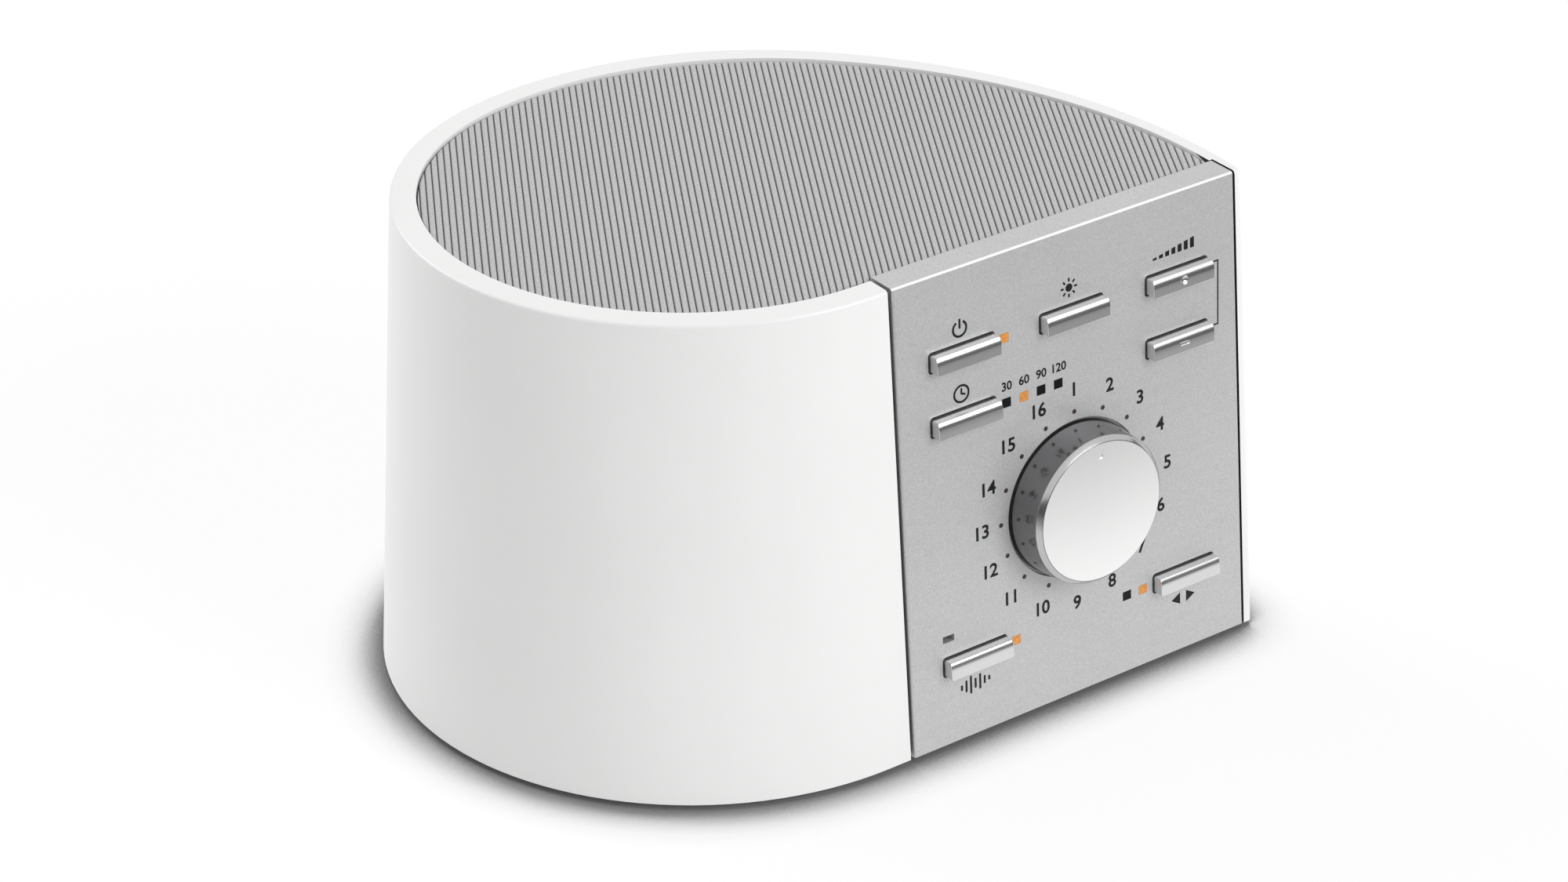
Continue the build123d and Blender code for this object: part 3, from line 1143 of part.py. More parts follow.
with BuildPart() as knob_face:
    with BuildSketch(face(KNOB_SEAT)):
        with Locations((KNOB_U, KNOB_W)):
            Circle(KNOB_FACE_R - RUNNING_GAP)
    extrude(amount=KNOB_FACE_THICK)
    with BuildSketch(face(KNOB_HEIGHT)):
        with Locations((KNOB_U, KNOB_W + POINTER_RADIUS)):
            SlotOverall(POINTER_LENGTH, POINTER_WIDTH, rotation=90)
    extrude(amount=-POINTER_DEPTH, mode=Mode.SUBTRACT)
finish(knob_face, "knob_face")

for label, (u, w) in KEY_PLACES.items():
    with BuildPart() as key:
        with BuildSketch(section_of_face(u, w)):
            with Locations((0, KEY_PROUD)):
                Rectangle(KEY_HEIGHT, KEY_ROOT + KEY_PROUD, align=(Align.CENTER, Align.MAX))
            fillet(vertices().group_by(Axis.Y)[-1].sort_by(Axis.X)[0], KEY_LOWER_ROUND)
            fillet(vertices().group_by(Axis.Y)[-1].sort_by(Axis.X)[-1], KEY_UPPER_ROUND)
        extrude(amount=KEY_LENGTH / 2, both=True)
        straight = key.edges().filter_by(GeomType.LINE)
        fillet(straight.filter_by(lambda edge: abs(edge.tangent_at(0).dot(face().z_dir)) > 0.9), KEY_END_ROUND)
        with BuildSketch(face(-KEY_ROOT)):
            with Locations((u, w)):
                Rectangle(KEY_LENGTH + 2 * KEY_FLANGE, KEY_HEIGHT + 2 * KEY_FLANGE)
        extrude(amount=-KEY_FLANGE_THICK)
        with BuildSketch(face(-KEY_ROOT - KEY_FLANGE_THICK)):
            with Locations((u, w)):
                Circle(KEY_STEM_D / 2)
        extrude(amount=KEY_ROOT + KEY_FLANGE_THICK - KEY_STEM_END)
        if label == "volume_up":
            with Locations(face_point(u, w, KEY_PROUD + DIMPLE_RISE)):
                Sphere(DIMPLE_SPHERE_R, mode=Mode.SUBTRACT)
        if label == "volume_down":
            with BuildSketch(face(KEY_PROUD)):
                with Locations((u, w)):
                    SlotOverall(DASH_LENGTH, DASH_WIDTH)
            extrude(amount=-DASH_DEPTH, mode=Mode.SUBTRACT)
    finish(key, f"{label}_key")

    with BuildPart() as plunger:
        with BuildSketch(face(-KEY_STEM_END)):
            with Locations((u, w)):
                Circle(PLUNGER_R)
        extrude(amount=KEY_STEM_END + SWITCH_HEIGHT - BOARD_DEPTH - PLUNGER_SEAT)
    finish(plunger, f"{label}_plunger")

# ================================================================ main board, jacks and wiring
with BuildPart() as main_board:
    with BuildSketch(level(MAIN_BOARD_Z)):
        with Locations((MAIN_BOARD_LEFT, MAIN_BOARD_FRONT)):
            Rectangle(MAIN_BOARD_RIGHT - MAIN_BOARD_LEFT, MAIN_BOARD_BACK - MAIN_BOARD_FRONT, align=Align.MIN)
        with Locations(*MAIN_POSTS):
            Circle(BOARD_SCREW_R + FIT_GAP, mode=Mode.SUBTRACT)
    extrude(amount=MAIN_BOARD_THICK)
finish(main_board, "main_board")

with BuildPart() as board_components:
    with BuildSketch(level(MAIN_BOARD_TOP)):
        with Locations((CHIP_X, COMPONENT_Y)):
            Rectangle(CHIP_SIZE, CHIP_SIZE)
        with Locations((REGULATOR_X, COMPONENT_Y)):
            Rectangle(REGULATOR_SIZE, REGULATOR_SIZE)
    extrude(amount=CHIP_THICK)
finish(board_components, "board_components")

with BuildPart() as filter_capacitors:
    with BuildSketch(level(MAIN_BOARD_TOP)):
        with Locations(*[(x, COMPONENT_Y) for x in CAPACITOR_PLACES]):
            Circle(CAPACITOR_R)
    extrude(amount=CAPACITOR_HEIGHT)
    fillet(filter_capacitors.faces().group_by(Axis.Z)[-1].edges(), CAPACITOR_ROUND)
finish(filter_capacitors, "filter_capacitors")

# Each jack is a block on the board with a barrel that reaches through the jack plate.
for label, (shift, axis_z, barrel_r) in JACKS.items():
    power = label == "dc_jack"
    width, height, length = (DC_WIDTH, DC_HEIGHT, DC_LENGTH) if power else AUDIO_JACK_SIZE
    bore_r, bore_depth = (DC_BORE_R, DC_BORE) if power else (AUDIO_JACK_BORE_R, AUDIO_JACK_BORE)
    nose = -JACK_PLATE_STEP - JACK_PLATE_FLANGE - JACK_BODY_GAP
    with BuildPart() as jack:
        with BuildSketch(jack_face(nose)):
            with Locations((-shift, MAIN_BOARD_TOP - JACK_PLATE_Z)):
                Rectangle(width, height, align=(Align.CENTER, Align.MIN))
        extrude(amount=-length)
        with BuildSketch(jack_face(nose)):
            with Locations((-shift, axis_z - JACK_PLATE_Z)):
                Circle(barrel_r)
        extrude(amount=-nose - JACK_INSET)
        with BuildSketch(jack_face(-JACK_INSET)):
            with Locations((-shift, axis_z - JACK_PLATE_Z)):
                Circle(bore_r)
                if power:
                    Circle(DC_PIN_R, mode=Mode.SUBTRACT)
        extrude(amount=-bore_depth, mode=Mode.SUBTRACT)
    finish(jack, label)

with BuildPart() as ribbon_connectors:
    with BuildSketch(face(-BOARD_DEPTH - BOARD_THICK)):
        with Locations((RIBBON_U, RIBBON_W)):
            Rectangle(HEADER_LENGTH, HEADER_WIDTH)
    extrude(amount=-HEADER_HEIGHT)
    with BuildSketch(level(MAIN_BOARD_TOP)):
        with Locations((RIBBON_U, RIBBON_END_Y)):
            Rectangle(HEADER_LENGTH, HEADER_WIDTH)
    extrude(amount=HEADER_HEIGHT)
finish(ribbon_connectors, "ribbon_connectors")

# The ribbon lies along the base plate beside the battery box and rises to the main board.
with BuildPart() as ribbon_cable:
    ribbon_depth = BOARD_DEPTH + BOARD_THICK + HEADER_HEIGHT
    ribbon_start = face_point(RIBBON_U, RIBBON_W, -ribbon_depth)
    ribbon_top = MAIN_BOARD_TOP + HEADER_HEIGHT
    ribbon_y = BOWL_Y + RIBBON_END_Y
    front_y = BOWL_Y + MAIN_BOARD_FRONT - RIBBON_CLEAR
    ribbon_route = [
        ribbon_start,
        face_point(RIBBON_U, RIBBON_W, -ribbon_depth - RIBBON_RUN),
        Vector(ribbon_start.X, ribbon_start.Y + 2 * RIBBON_RUN, RIBBON_Z),
        Vector(ribbon_start.X, front_y - RIBBON_RUN / 2, RIBBON_Z),
        Vector(ribbon_start.X, front_y, ribbon_top + RIBBON_RISE),
        Vector(ribbon_start.X, ribbon_y, ribbon_top + RIBBON_RISE),
        Vector(ribbon_start.X, ribbon_y, ribbon_top),
    ]
    with BuildLine() as ribbon_path:
        FilletPolyline(*ribbon_route, radius=RIBBON_BEND_R)
    with BuildSketch(Plane(origin=ribbon_path.line @ 0, x_dir=(1, 0, 0), z_dir=ribbon_path.line % 0)):
        Rectangle(RIBBON_WIDTH, RIBBON_THICK)
    sweep()
finish(ribbon_cable, "ribbon_cable")

with BuildPart() as speaker_leads:
    lead_run = [(y, DECK_TOP - fall) for y, fall in LEAD_FALL]
    lead_run += [*LEAD_RISE, (LEAD_RISE[-1][0], MAIN_BOARD_TOP)]
    for x in LEAD_PLACES:
        lead_route = [Vector(BOWL_X + x, BOWL_Y + y, z) for y, z in lead_run]
        lead_radii = bend_radii(lead_route)
        print("lead bends", [round(radius, 1) for radius in lead_radii])
        with BuildLine() as lead_path:
            FilletPolyline(*lead_route, radius=lead_radii)
        with BuildSketch(Plane(origin=lead_path.line @ 0, z_dir=lead_path.line % 0)):
            Circle(LEAD_R)
        sweep()
finish(speaker_leads, "speaker_leads")
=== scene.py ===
# %% [markdown]
# A bedside sound machine, dressed for a product picture.
# The shapes that carry and move come from the imported CAD model, which is loaded as a fixed frame in
# metres. This notebook gives every piece its finish, and replaces the few pieces whose looks depend on
# detail finer than the CAD solids hold: the ribbed cloth, the keys, the polished skirt of the knob and
# the damper inside the speaker.

# %% Load the frame
import json
from math import atan2, cos, degrees, radians, sin

import bmesh
import bpy
import numpy as np

from mathutils import Matrix, Vector


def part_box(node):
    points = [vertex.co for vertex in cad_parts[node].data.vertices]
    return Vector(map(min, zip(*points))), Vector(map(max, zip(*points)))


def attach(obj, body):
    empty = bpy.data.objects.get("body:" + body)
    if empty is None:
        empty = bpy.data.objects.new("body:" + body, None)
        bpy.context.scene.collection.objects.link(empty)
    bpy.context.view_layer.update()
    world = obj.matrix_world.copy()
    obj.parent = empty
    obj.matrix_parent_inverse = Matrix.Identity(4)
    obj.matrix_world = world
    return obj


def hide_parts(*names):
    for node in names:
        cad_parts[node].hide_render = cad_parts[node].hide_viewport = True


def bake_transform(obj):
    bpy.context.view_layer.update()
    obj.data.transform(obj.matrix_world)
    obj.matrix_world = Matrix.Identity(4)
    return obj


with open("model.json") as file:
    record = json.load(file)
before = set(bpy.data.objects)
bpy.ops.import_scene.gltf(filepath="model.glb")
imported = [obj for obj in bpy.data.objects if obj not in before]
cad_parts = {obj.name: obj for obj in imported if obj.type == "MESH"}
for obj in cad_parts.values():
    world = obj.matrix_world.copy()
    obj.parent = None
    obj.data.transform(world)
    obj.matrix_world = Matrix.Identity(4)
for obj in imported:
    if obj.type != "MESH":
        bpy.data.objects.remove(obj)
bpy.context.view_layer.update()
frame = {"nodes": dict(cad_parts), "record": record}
NODES = frame["nodes"]
SLOTS = {row["node"]: row["material_slot"] for row in frame["record"]["subparts"]}

# %% [markdown]
# The casing is a bowl that widens towards its foot. Two places on it serve as rulers: the centre of
# the round left end, called the bowl centre, and the leaning face of the panel. A place on the panel
# is given as u along it, w up it and out of it, in millimetres, which is how a panel drawing reads.

# %% Rulers
MM = 0.001
FOOT_R = 65.5
FOOT_STAND = 1.2
PANEL_RISE, PANEL_LEAN_BACK = 102.6, 6.2
LEAN = atan2(PANEL_LEAN_BACK, PANEL_RISE)
KNOB_U, KNOB_W = 48.15, 44.3

dial_low, dial_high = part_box("knob_face")
panel_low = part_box("front_panel")[0]
BOWL = np.array([(dial_low.x + dial_high.x) / 2 / MM - KNOB_U, panel_low.y / MM + FOOT_R, 0.0])
ALONG = np.array([1.0, 0.0, 0.0])
UP = np.array([0.0, sin(LEAN), cos(LEAN)])
OUT = np.array([0.0, -cos(LEAN), sin(LEAN)])
PANEL_FOOT = BOWL + [0.0, -FOOT_R, FOOT_STAND]


def on_panel(u, w, out=0.0):
    """Points in the frame, in millimetres: the panel's foot plus u along, w up and out of its face."""
    u, w, out = np.broadcast_arrays(u, w, out)
    return PANEL_FOOT + u[..., None] * ALONG + w[..., None] * UP + out[..., None] * OUT


print("bowl centre", BOWL.round(3), "lean in degrees", round(degrees(LEAN), 2))

# %% [markdown]
# The camera stands to the left of the front and looks down by about thirty degrees, through a long
# lens. A long lens keeps the ring of the casing close to a true ellipse. The camera is made first,
# because everything else is judged through it.

# %% Camera
CAMERA_AZIMUTH = radians(-35.765)
CAMERA_HEIGHT = radians(29.304)
CAMERA_ROLL = radians(-0.488)
CAMERA_DISTANCE = 948.8
CAMERA_SLIDE = (17.587, 39.114)
LENS = 104.8

back = Vector((
    sin(CAMERA_AZIMUTH) * cos(CAMERA_HEIGHT),
    -cos(CAMERA_AZIMUTH) * cos(CAMERA_HEIGHT),
    sin(CAMERA_HEIGHT),
))
level = Vector((0, 0, 1)).cross(back).normalized()
upright = back.cross(level)
right = level * cos(CAMERA_ROLL) + upright * sin(CAMERA_ROLL)
top = upright * cos(CAMERA_ROLL) - level * sin(CAMERA_ROLL)
aim = Vector(BOWL) + Vector((0, 0, FOOT_STAND)) + right * CAMERA_SLIDE[0] + top * CAMERA_SLIDE[1]

camera = bpy.data.objects.new("camera", bpy.data.cameras.new("camera"))
camera.data.lens = LENS
camera.data.sensor_width = 36.0
camera.data.sensor_fit = "HORIZONTAL"
camera.data.clip_start = 0.05
camera.data.clip_end = 30.0
turn = Matrix((right, top, back)).transposed().to_4x4()
camera.matrix_world = Matrix.Translation((aim + back * CAMERA_DISTANCE) * MM) @ turn
bpy.context.scene.collection.objects.link(camera)
bpy.context.scene.camera = camera
print("camera at", [round(value, 4) for value in camera.matrix_world.translation])

# %% [markdown]
# Every new piece is a surface worked out with numpy. A grid of points comes from a formula, its faces
# join neighbouring rows and columns, and closed parts are put together as one mesh. Doubles are
# merged, so that seams and poles are closed, and then the faces are turned outwards. Edges that turn
# by more than a set angle stay crisp, and all others are shaded smooth.

# %% Helpers for surfaces
MERGE_DISTANCE = 1e-6


def grid_faces(rows, columns, round_rows=False, round_columns=False):
    """Corner numbers of the quads of a grid: each point with its next along, the one across, and up."""
    row = np.arange(rows if round_rows else rows - 1)[:, None]
    column = np.arange(columns if round_columns else columns - 1)[None, :]
    next_row, next_column = (row + 1) % rows, (column + 1) % columns
    corners = (
        row * columns + column,
        row * columns + next_column,
        next_row * columns + next_column,
        next_row * columns + column,
    )
    return np.stack(np.broadcast_arrays(*corners), axis=-1).reshape(-1, 4)


def tube_part(rings):
    """A closed part from rings of points: quads between neighbouring rings and a flat cap at each end."""
    count, around = rings.shape[:2]
    caps = np.stack([np.arange(around)[::-1], np.arange(around) + (count - 1) * around])
    return rings.reshape(-1, 3), [grid_faces(count, around, round_columns=True), caps]


def build_piece(name, parts, body, material, replaced=(), crisp=35.0):
    """One object from closed parts, each of them points in millimetres and blocks of faces. It rides on
    the named body, or on none. Edges that turn by more than crisp degrees stay crisp."""
    starts = np.cumsum([0] + [len(points) for points, _ in parts])
    faces = []
    for (_, blocks), start in zip(parts, starts):
        for block in blocks:
            faces += (np.asarray(block) + start).tolist()
    mesh = bpy.data.meshes.new(name)
    mesh.from_pydata(np.concatenate([points for points, _ in parts]) * MM, [], faces)
    shape = bmesh.new()
    shape.from_mesh(mesh)
    bmesh.ops.remove_doubles(shape, verts=shape.verts, dist=MERGE_DISTANCE)
    bmesh.ops.recalc_face_normals(shape, faces=shape.faces)
    shape.to_mesh(mesh)
    shape.free()
    mesh.shade_smooth()
    mesh.set_sharp_from_angle(angle=radians(crisp))
    mesh.materials.append(material)
    piece = bpy.data.objects.new(name, mesh)
    bpy.context.scene.collection.objects.link(piece)
    if body:
        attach(piece, body)
    if replaced:
        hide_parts(*replaced)
    print("made", name, "with", len(mesh.vertices), "points and", len(mesh.polygons), "faces")
    return piece


def softened(profile, reach, steps=5):
    """A profile with its corners rounded: near a corner, the line bends from the run before it to the
    run after it, as corner + (reach back) times (1 - t) squared + (reach on) times t squared."""
    corner = np.asarray(profile, float)
    before, after = np.roll(corner, 1, axis=0), np.roll(corner, -1, axis=0)
    back_way = (before - corner) / np.linalg.norm(before - corner, axis=1, keepdims=True)
    on_way = (after - corner) / np.linalg.norm(after - corner, axis=1, keepdims=True)
    share = np.linspace(0, 1, steps)[None, :, None]
    bend = back_way[:, None] * (1 - share) ** 2 + on_way[:, None] * share**2
    return (corner[:, None] + reach * bend).reshape(-1, 2)


def turned_part(u, w, profile, around=192):
    """A closed profile of (radius, out) turned about the panel's normal at a place on the panel:
    along = radius times cosine, up = radius times sine, out as it is."""
    radius, out = np.asarray(profile, float).T
    angle = np.linspace(0, 2 * np.pi, around, endpoint=False)[:, None]
    points = on_panel(u + radius * np.cos(angle), w + radius * np.sin(angle), out)
    return points.reshape(-1, 3), [grid_faces(around, len(radius), True, True)]


# %% [markdown]
# Materials are trees of nodes, and a few small helpers keep their cells short. One adds a node with its
# settings by name, and one makes a ramp between two colours. Two more give the product of two colours
# and the result of a sum on two values. The last one tells the rays by which the stage is looked at,
# directly, in a gloss or through a clear piece, from the diffuse rays that only carry its light on.

# %% Helpers for nodes
def add_node(tree, kind, **settings):
    """A new node of one kind. Each setting is named as its input is, in small letters and underscores."""
    node = tree.nodes.new(f"ShaderNode{kind}")
    for name, value in settings.items():
        node.inputs[name.replace("_", " ").title()].default_value = value
    return node


def add_ramp(tree, low, high, low_place=0.0, high_place=1.0):
    """A ramp from one colour to another, held flat outside its two places."""
    ramp = add_node(tree, "ValToRGB")
    for end, place, colour in zip(ramp.color_ramp.elements, (low_place, high_place), (low, high)):
        end.position = place
        end.color = (*colour, 1)
    return ramp


def add_product(tree, first, second):
    """The product of two colours, as an output socket. Inputs 6 and 7 and output 2 are for colours."""
    product = add_node(tree, "Mix")
    product.data_type = "RGBA"
    product.blend_type = "MULTIPLY"
    product.inputs["Factor"].default_value = 1.0
    tree.links.new(first, product.inputs[6])
    tree.links.new(second, product.inputs[7])
    return product.outputs[2]


def add_math(tree, operation, first, second):
    """The result of one sum on two values, as an output socket."""
    node = add_node(tree, "Math")
    node.operation = operation
    tree.links.new(first, node.inputs[0])
    tree.links.new(second, node.inputs[1])
    return node.outputs[0]


def looking_rays(tree, path):
    """One for camera, glossy and transmission rays and zero for all others: the largest of the three."""
    seen = add_math(tree, "MAXIMUM", path.outputs["Is Camera Ray"], path.outputs["Is Glossy Ray"])
    return add_math(tree, "MAXIMUM", seen, path.outputs["Is Transmission Ray"])


# %% [markdown]
# A moulded or sprayed finish is never one flat colour. Large soft noise shifts the colour by a few
# hundredths, as pigment does, and fine noise lifts the surface through a bump, which breaks up the
# gloss. One helper makes that base, and each finish adds what its own material shows. The noise reads
# Object coordinates, so that it stays on the piece, and its scales are per metre.

# %% Helper for finishes
CLOUD_SCALE = 45.0
CLOUD_LOW, CLOUD_HIGH = 0.3, 0.7


def finish(name, colour, roughness, metallic=0.0, shift=0.03, grain=2500.0, depth=0.00002, strength=0.3):
    """A node material: colour times (1 - shift) to (1 + shift) by wide noise, and a fine grain."""
    material = bpy.data.materials.new(name)
    material.use_nodes = True
    tree = material.node_tree
    shader = tree.nodes["Principled BSDF"]
    shader.inputs["Roughness"].default_value = roughness
    shader.inputs["Metallic"].default_value = metallic
    place = add_node(tree, "TexCoord")
    wide = add_node(tree, "TexNoise", scale=CLOUD_SCALE, detail=3.0)
    darker = [value * (1 - shift) for value in colour]
    lighter = [min(1, value * (1 + shift)) for value in colour]
    tint = add_ramp(tree, darker, lighter, CLOUD_LOW, CLOUD_HIGH)
    fine = add_node(tree, "TexNoise", scale=grain, detail=2.0)
    bump = add_node(tree, "Bump", strength=strength, distance=depth)
    tree.links.new(place.outputs["Object"], wide.inputs["Vector"])
    tree.links.new(place.outputs["Object"], fine.inputs["Vector"])
    tree.links.new(wide.outputs["Fac"], tint.inputs["Fac"])
    tree.links.new(tint.outputs["Color"], shader.inputs["Base Color"])
    tree.links.new(fine.outputs["Fac"], bump.inputs["Height"])
    tree.links.new(bump.outputs["Normal"], shader.inputs["Normal"])
    return material


def part_of(material, kind):
    """The first node of one kind in a material, to adjust or to branch from."""
    return next(node for node in material.node_tree.nodes if node.bl_idname == f"ShaderNode{kind}")


# %% [markdown]
# Some pieces have two finishes, such as a sprayed part with a painted highlight along one edge. The faces
# for the second one are chosen by where they lie and which way they face, in the panel's own directions.

# %% Helpers for pieces with two finishes
def face_places(piece):
    """The middle of each face in panel directions (u, w, out), in millimetres, and its direction."""
    faces = piece.data.polygons
    middle, facing = np.zeros(len(faces) * 3), np.zeros(len(faces) * 3)
    faces.foreach_get("center", middle)
    faces.foreach_get("normal", facing)
    axes = np.stack([ALONG, UP, OUT], axis=-1)
    return (middle.reshape(-1, 3) / MM - PANEL_FOOT) @ axes, facing.reshape(-1, 3) @ axes


def second_finish(piece, material, chosen):
    """Gives the chosen faces of a piece another material, as its second slot."""
    piece.data.materials.append(material)
    piece.data.polygons.foreach_set("material_index", chosen.astype(np.int32))
    print(material.name, "on", int(chosen.sum()), "faces of", piece.name)


# %% [markdown]
# The casing is a satin white moulding and the underside a plain textured one. The panel is plastic
# sprayed with silver lacquer: it is half metal in its gloss, and its fine aluminium flakes make a
# pale speckle. The flakes are cells of a Voronoi pattern, most of them mid grey and a few bright.

# %% Casing and panel finishes
FLAKE_SCALE = 5200.0

white_casing = finish("white_casing", (0.87, 0.87, 0.865), 0.33, shift=0.008, grain=1800.0, strength=0.12)
base_plastic = finish("base_plastic", (0.78, 0.78, 0.77), 0.55, grain=3500.0, strength=0.6)
silver_panel = finish("silver_panel", (0.55, 0.55, 0.555), 0.42, metallic=0.35, shift=0.015, strength=0.2)
# A paler copy of the panel's lacquer for the bend at its top: a painted highlight along the bend.
painted_highlight_bend = finish("painted_highlight_bend", (0.86, 0.86, 0.86), 0.4, metallic=0.3, shift=0.01, strength=0.1)
# Near black for the rebate beside the panel: painted shade for the deep seams.
rebate_painted_shade = finish("rebate_painted_shade", (0.02, 0.02, 0.02), 0.7, shift=0.2, grain=3000.0)

tree = silver_panel.node_tree
flake = add_node(tree, "TexVoronoi", scale=FLAKE_SCALE)
flake_level = add_node(tree, "MapRange", from_min=0.2, to_min=0.88, to_max=1.12)
tree.links.new(part_of(silver_panel, "TexCoord").outputs["Object"], flake.inputs["Vector"])
tree.links.new(flake.outputs["Color"], flake_level.inputs["Value"])
plain = part_of(silver_panel, "ValToRGB").outputs["Color"]
speckled = add_product(tree, plain, flake_level.outputs["Result"])
tree.links.new(speckled, tree.nodes["Principled BSDF"].inputs["Base Color"])
print("casing and panel finishes ready")

# %% [markdown]
# The keys and the knob are bright metal. A key is drawn lengthwise, so its fine scratches run along u:
# noise stretched along X gives them. The face of the knob is spun, which leaves rings round its
# centre, and the skirt is polished, with only a trace of the same rings.

# %% Metal finishes
DRAWN_STRETCH = 0.05
DRAWN_SCALE = 4200.0
SPUN_SCALE = 900.0

silver_keys = finish(
    "silver_keys", (0.66, 0.66, 0.665), 0.2, metallic=1.0, shift=0.02, grain=DRAWN_SCALE, strength=0.12
)
polished_knob = finish("polished_knob", (0.23, 0.23, 0.235), 0.16, metallic=1.0, strength=0.1)
bright_bevel = finish("bright_bevel", (0.48, 0.48, 0.48), 0.2, metallic=1.0, shift=0.01, strength=0.1)
brushed_knob = finish("brushed_knob", (0.96, 0.96, 0.955), 0.3, metallic=1.0, shift=0.01, strength=0.1)

tree = silver_keys.node_tree
stretch = add_node(tree, "Mapping", scale=(DRAWN_STRETCH, 1.0, 1.0))
scratches = part_of(silver_keys, "Bump").inputs["Height"].links[0].from_node
tree.links.new(part_of(silver_keys, "TexCoord").outputs["Object"], stretch.inputs["Vector"])
tree.links.new(stretch.outputs["Vector"], scratches.inputs["Vector"])

knob_centre = on_panel(KNOB_U, KNOB_W) * MM
for metal in (polished_knob, bright_bevel, brushed_knob):
    tree = metal.node_tree
    centred = add_node(tree, "Mapping", location=knob_centre, rotation=(radians(90) - LEAN, 0, 0))
    centred.vector_type = "TEXTURE"
    rings = add_node(tree, "TexWave", scale=SPUN_SCALE, distortion=2.5, detail=3.0)
    rings.wave_type = "RINGS"
    rings.rings_direction = "Z"
    tree.links.new(part_of(metal, "TexCoord").outputs["Object"], centred.inputs["Vector"])
    tree.links.new(centred.outputs["Vector"], rings.inputs["Vector"])
    tree.links.new(rings.outputs["Fac"], part_of(metal, "Bump").inputs["Height"])
print("metal finishes ready")

# %% [markdown]
# The indicator windows are small light pipes behind the panel. The lit ones glow amber, brighter
# where the light pipe's facets catch the lamp, so a cell pattern drives both colour and glow. The
# unlit ones are dark tinted plastic. Inside the casing are the usual materials of such a device:
# zinc-plated and blackened steel, nickel, ferrite, copper, pressed paper, green solder mask and
# black or white mouldings. They each get their own grain at their own scale.

# %% Window and inner finishes
FACET_SCALE = 2200.0
GLOW_STRENGTH = 0.45

amber_lens = finish("amber_lens", (0.42, 0.17, 0.035), 0.35, shift=0.1)
tree = amber_lens.node_tree
facets = add_node(tree, "TexVoronoi", scale=FACET_SCALE)
glow = add_ramp(tree, (0.85, 0.4, 0.09), (0.42, 0.15, 0.02), high_place=0.75)
tree.links.new(part_of(amber_lens, "TexCoord").outputs["Object"], facets.inputs["Vector"])
tree.links.new(facets.outputs["Distance"], glow.inputs["Fac"])
tree.links.new(glow.outputs["Color"], tree.nodes["Principled BSDF"].inputs["Emission Color"])
tree.nodes["Principled BSDF"].inputs["Emission Strength"].default_value = GLOW_STRENGTH

dark_lens = finish("dark_lens", (0.008, 0.007, 0.007), 0.25, shift=0.2, strength=0.1)
part_of(dark_lens, "BsdfPrincipled").inputs["Specular IOR Level"].default_value = 0.12

FINISHES = {
    "white_casing": white_casing,
    "silver_panel": silver_panel,
    "silver_keys": silver_keys,
    "polished_knob": polished_knob,
    "brushed_knob": brushed_knob,
    "amber_lens": amber_lens,
    "base_plastic": base_plastic,
    "dark_lens": dark_lens,
    "black_plastic": finish("black_plastic", (0.03, 0.03, 0.031), 0.5, grain=3000.0, strength=0.5),
    "inner_plastic": finish("inner_plastic", (0.3, 0.3, 0.31), 0.55, strength=0.5),
    "white_plastic": finish("white_plastic", (0.82, 0.82, 0.79), 0.45, strength=0.3),
    "foot_rubber": finish("foot_rubber", (0.06, 0.06, 0.06), 0.8, grain=6000.0, strength=0.8),
    "zinc_steel": finish("zinc_steel", (0.62, 0.62, 0.63), 0.3, metallic=1.0, shift=0.08),
    "black_steel": finish("black_steel", (0.02, 0.02, 0.02), 0.5, metallic=0.1, shift=0.1),
    "nickel": finish("nickel", (0.72, 0.7, 0.65), 0.22, metallic=1.0, shift=0.04, strength=0.15),
    "ferrite": finish("ferrite", (0.09, 0.09, 0.1), 0.6, shift=0.15, grain=5000.0, strength=0.7),
    "copper": finish("copper", (0.74, 0.4, 0.26), 0.3, metallic=1.0, shift=0.06, grain=7000.0),
    "paper_cone": finish("paper_cone", (0.06, 0.06, 0.06), 0.85, shift=0.12, grain=4000.0, strength=0.9),
    "board_green": finish("board_green", (0.03, 0.2, 0.09), 0.3, shift=0.12, grain=1200.0, strength=0.4),
    "component_black": finish("component_black", (0.035, 0.035, 0.036), 0.5, strength=0.4),
    "grey_cloth": finish("damper_cloth", (0.42, 0.3, 0.16), 0.85, shift=0.1, grain=5500.0, strength=0.9),
}
print("finishes:", len(FINISHES))

# %% [markdown]
# The cloth on the grille is a ribbed knit, stretched flat on its carrier, so its plan is that of the
# opening, less a small gap all round. The opening follows the rim of the casing: three arcs that meet
# without a corner, and a straight front.

# %% The plan of the opening
LEFT_OPENING_R, BACK_OPENING_R, SIDE_OPENING_R = 54.0, 72.1, 114.0
BACK_JOIN, SIDE_JOIN = 101.7, 46.65
CLOTH_GAP = 0.3
CLOTH_FRONT_Y = -52.6


def ray(angle):
    """Unit vectors in plan at angles in degrees from +X."""
    return np.stack([np.cos(np.radians(angle)), np.sin(np.radians(angle))], axis=-1)


def plan_outline(radii, front_y, count=600):
    """Three tangent arcs and a straight front: each centre lies back along the join's ray by the
    difference of the two radii, so that the arcs meet without a corner."""
    left_r, back_r, side_r = radii
    back_centre = ray(BACK_JOIN) * (left_r - back_r)
    side_centre = back_centre + ray(SIDE_JOIN) * (back_r - side_r)
    start = 180 + np.degrees(np.arcsin(-front_y / left_r))
    end = np.degrees(np.arcsin((front_y - side_centre[1]) / side_r))
    return np.concatenate([
        ray(np.linspace(start, BACK_JOIN, count)) * left_r,
        back_centre + ray(np.linspace(BACK_JOIN, SIDE_JOIN, count)) * back_r,
        side_centre + ray(np.linspace(SIDE_JOIN, end, count)) * side_r,
    ])


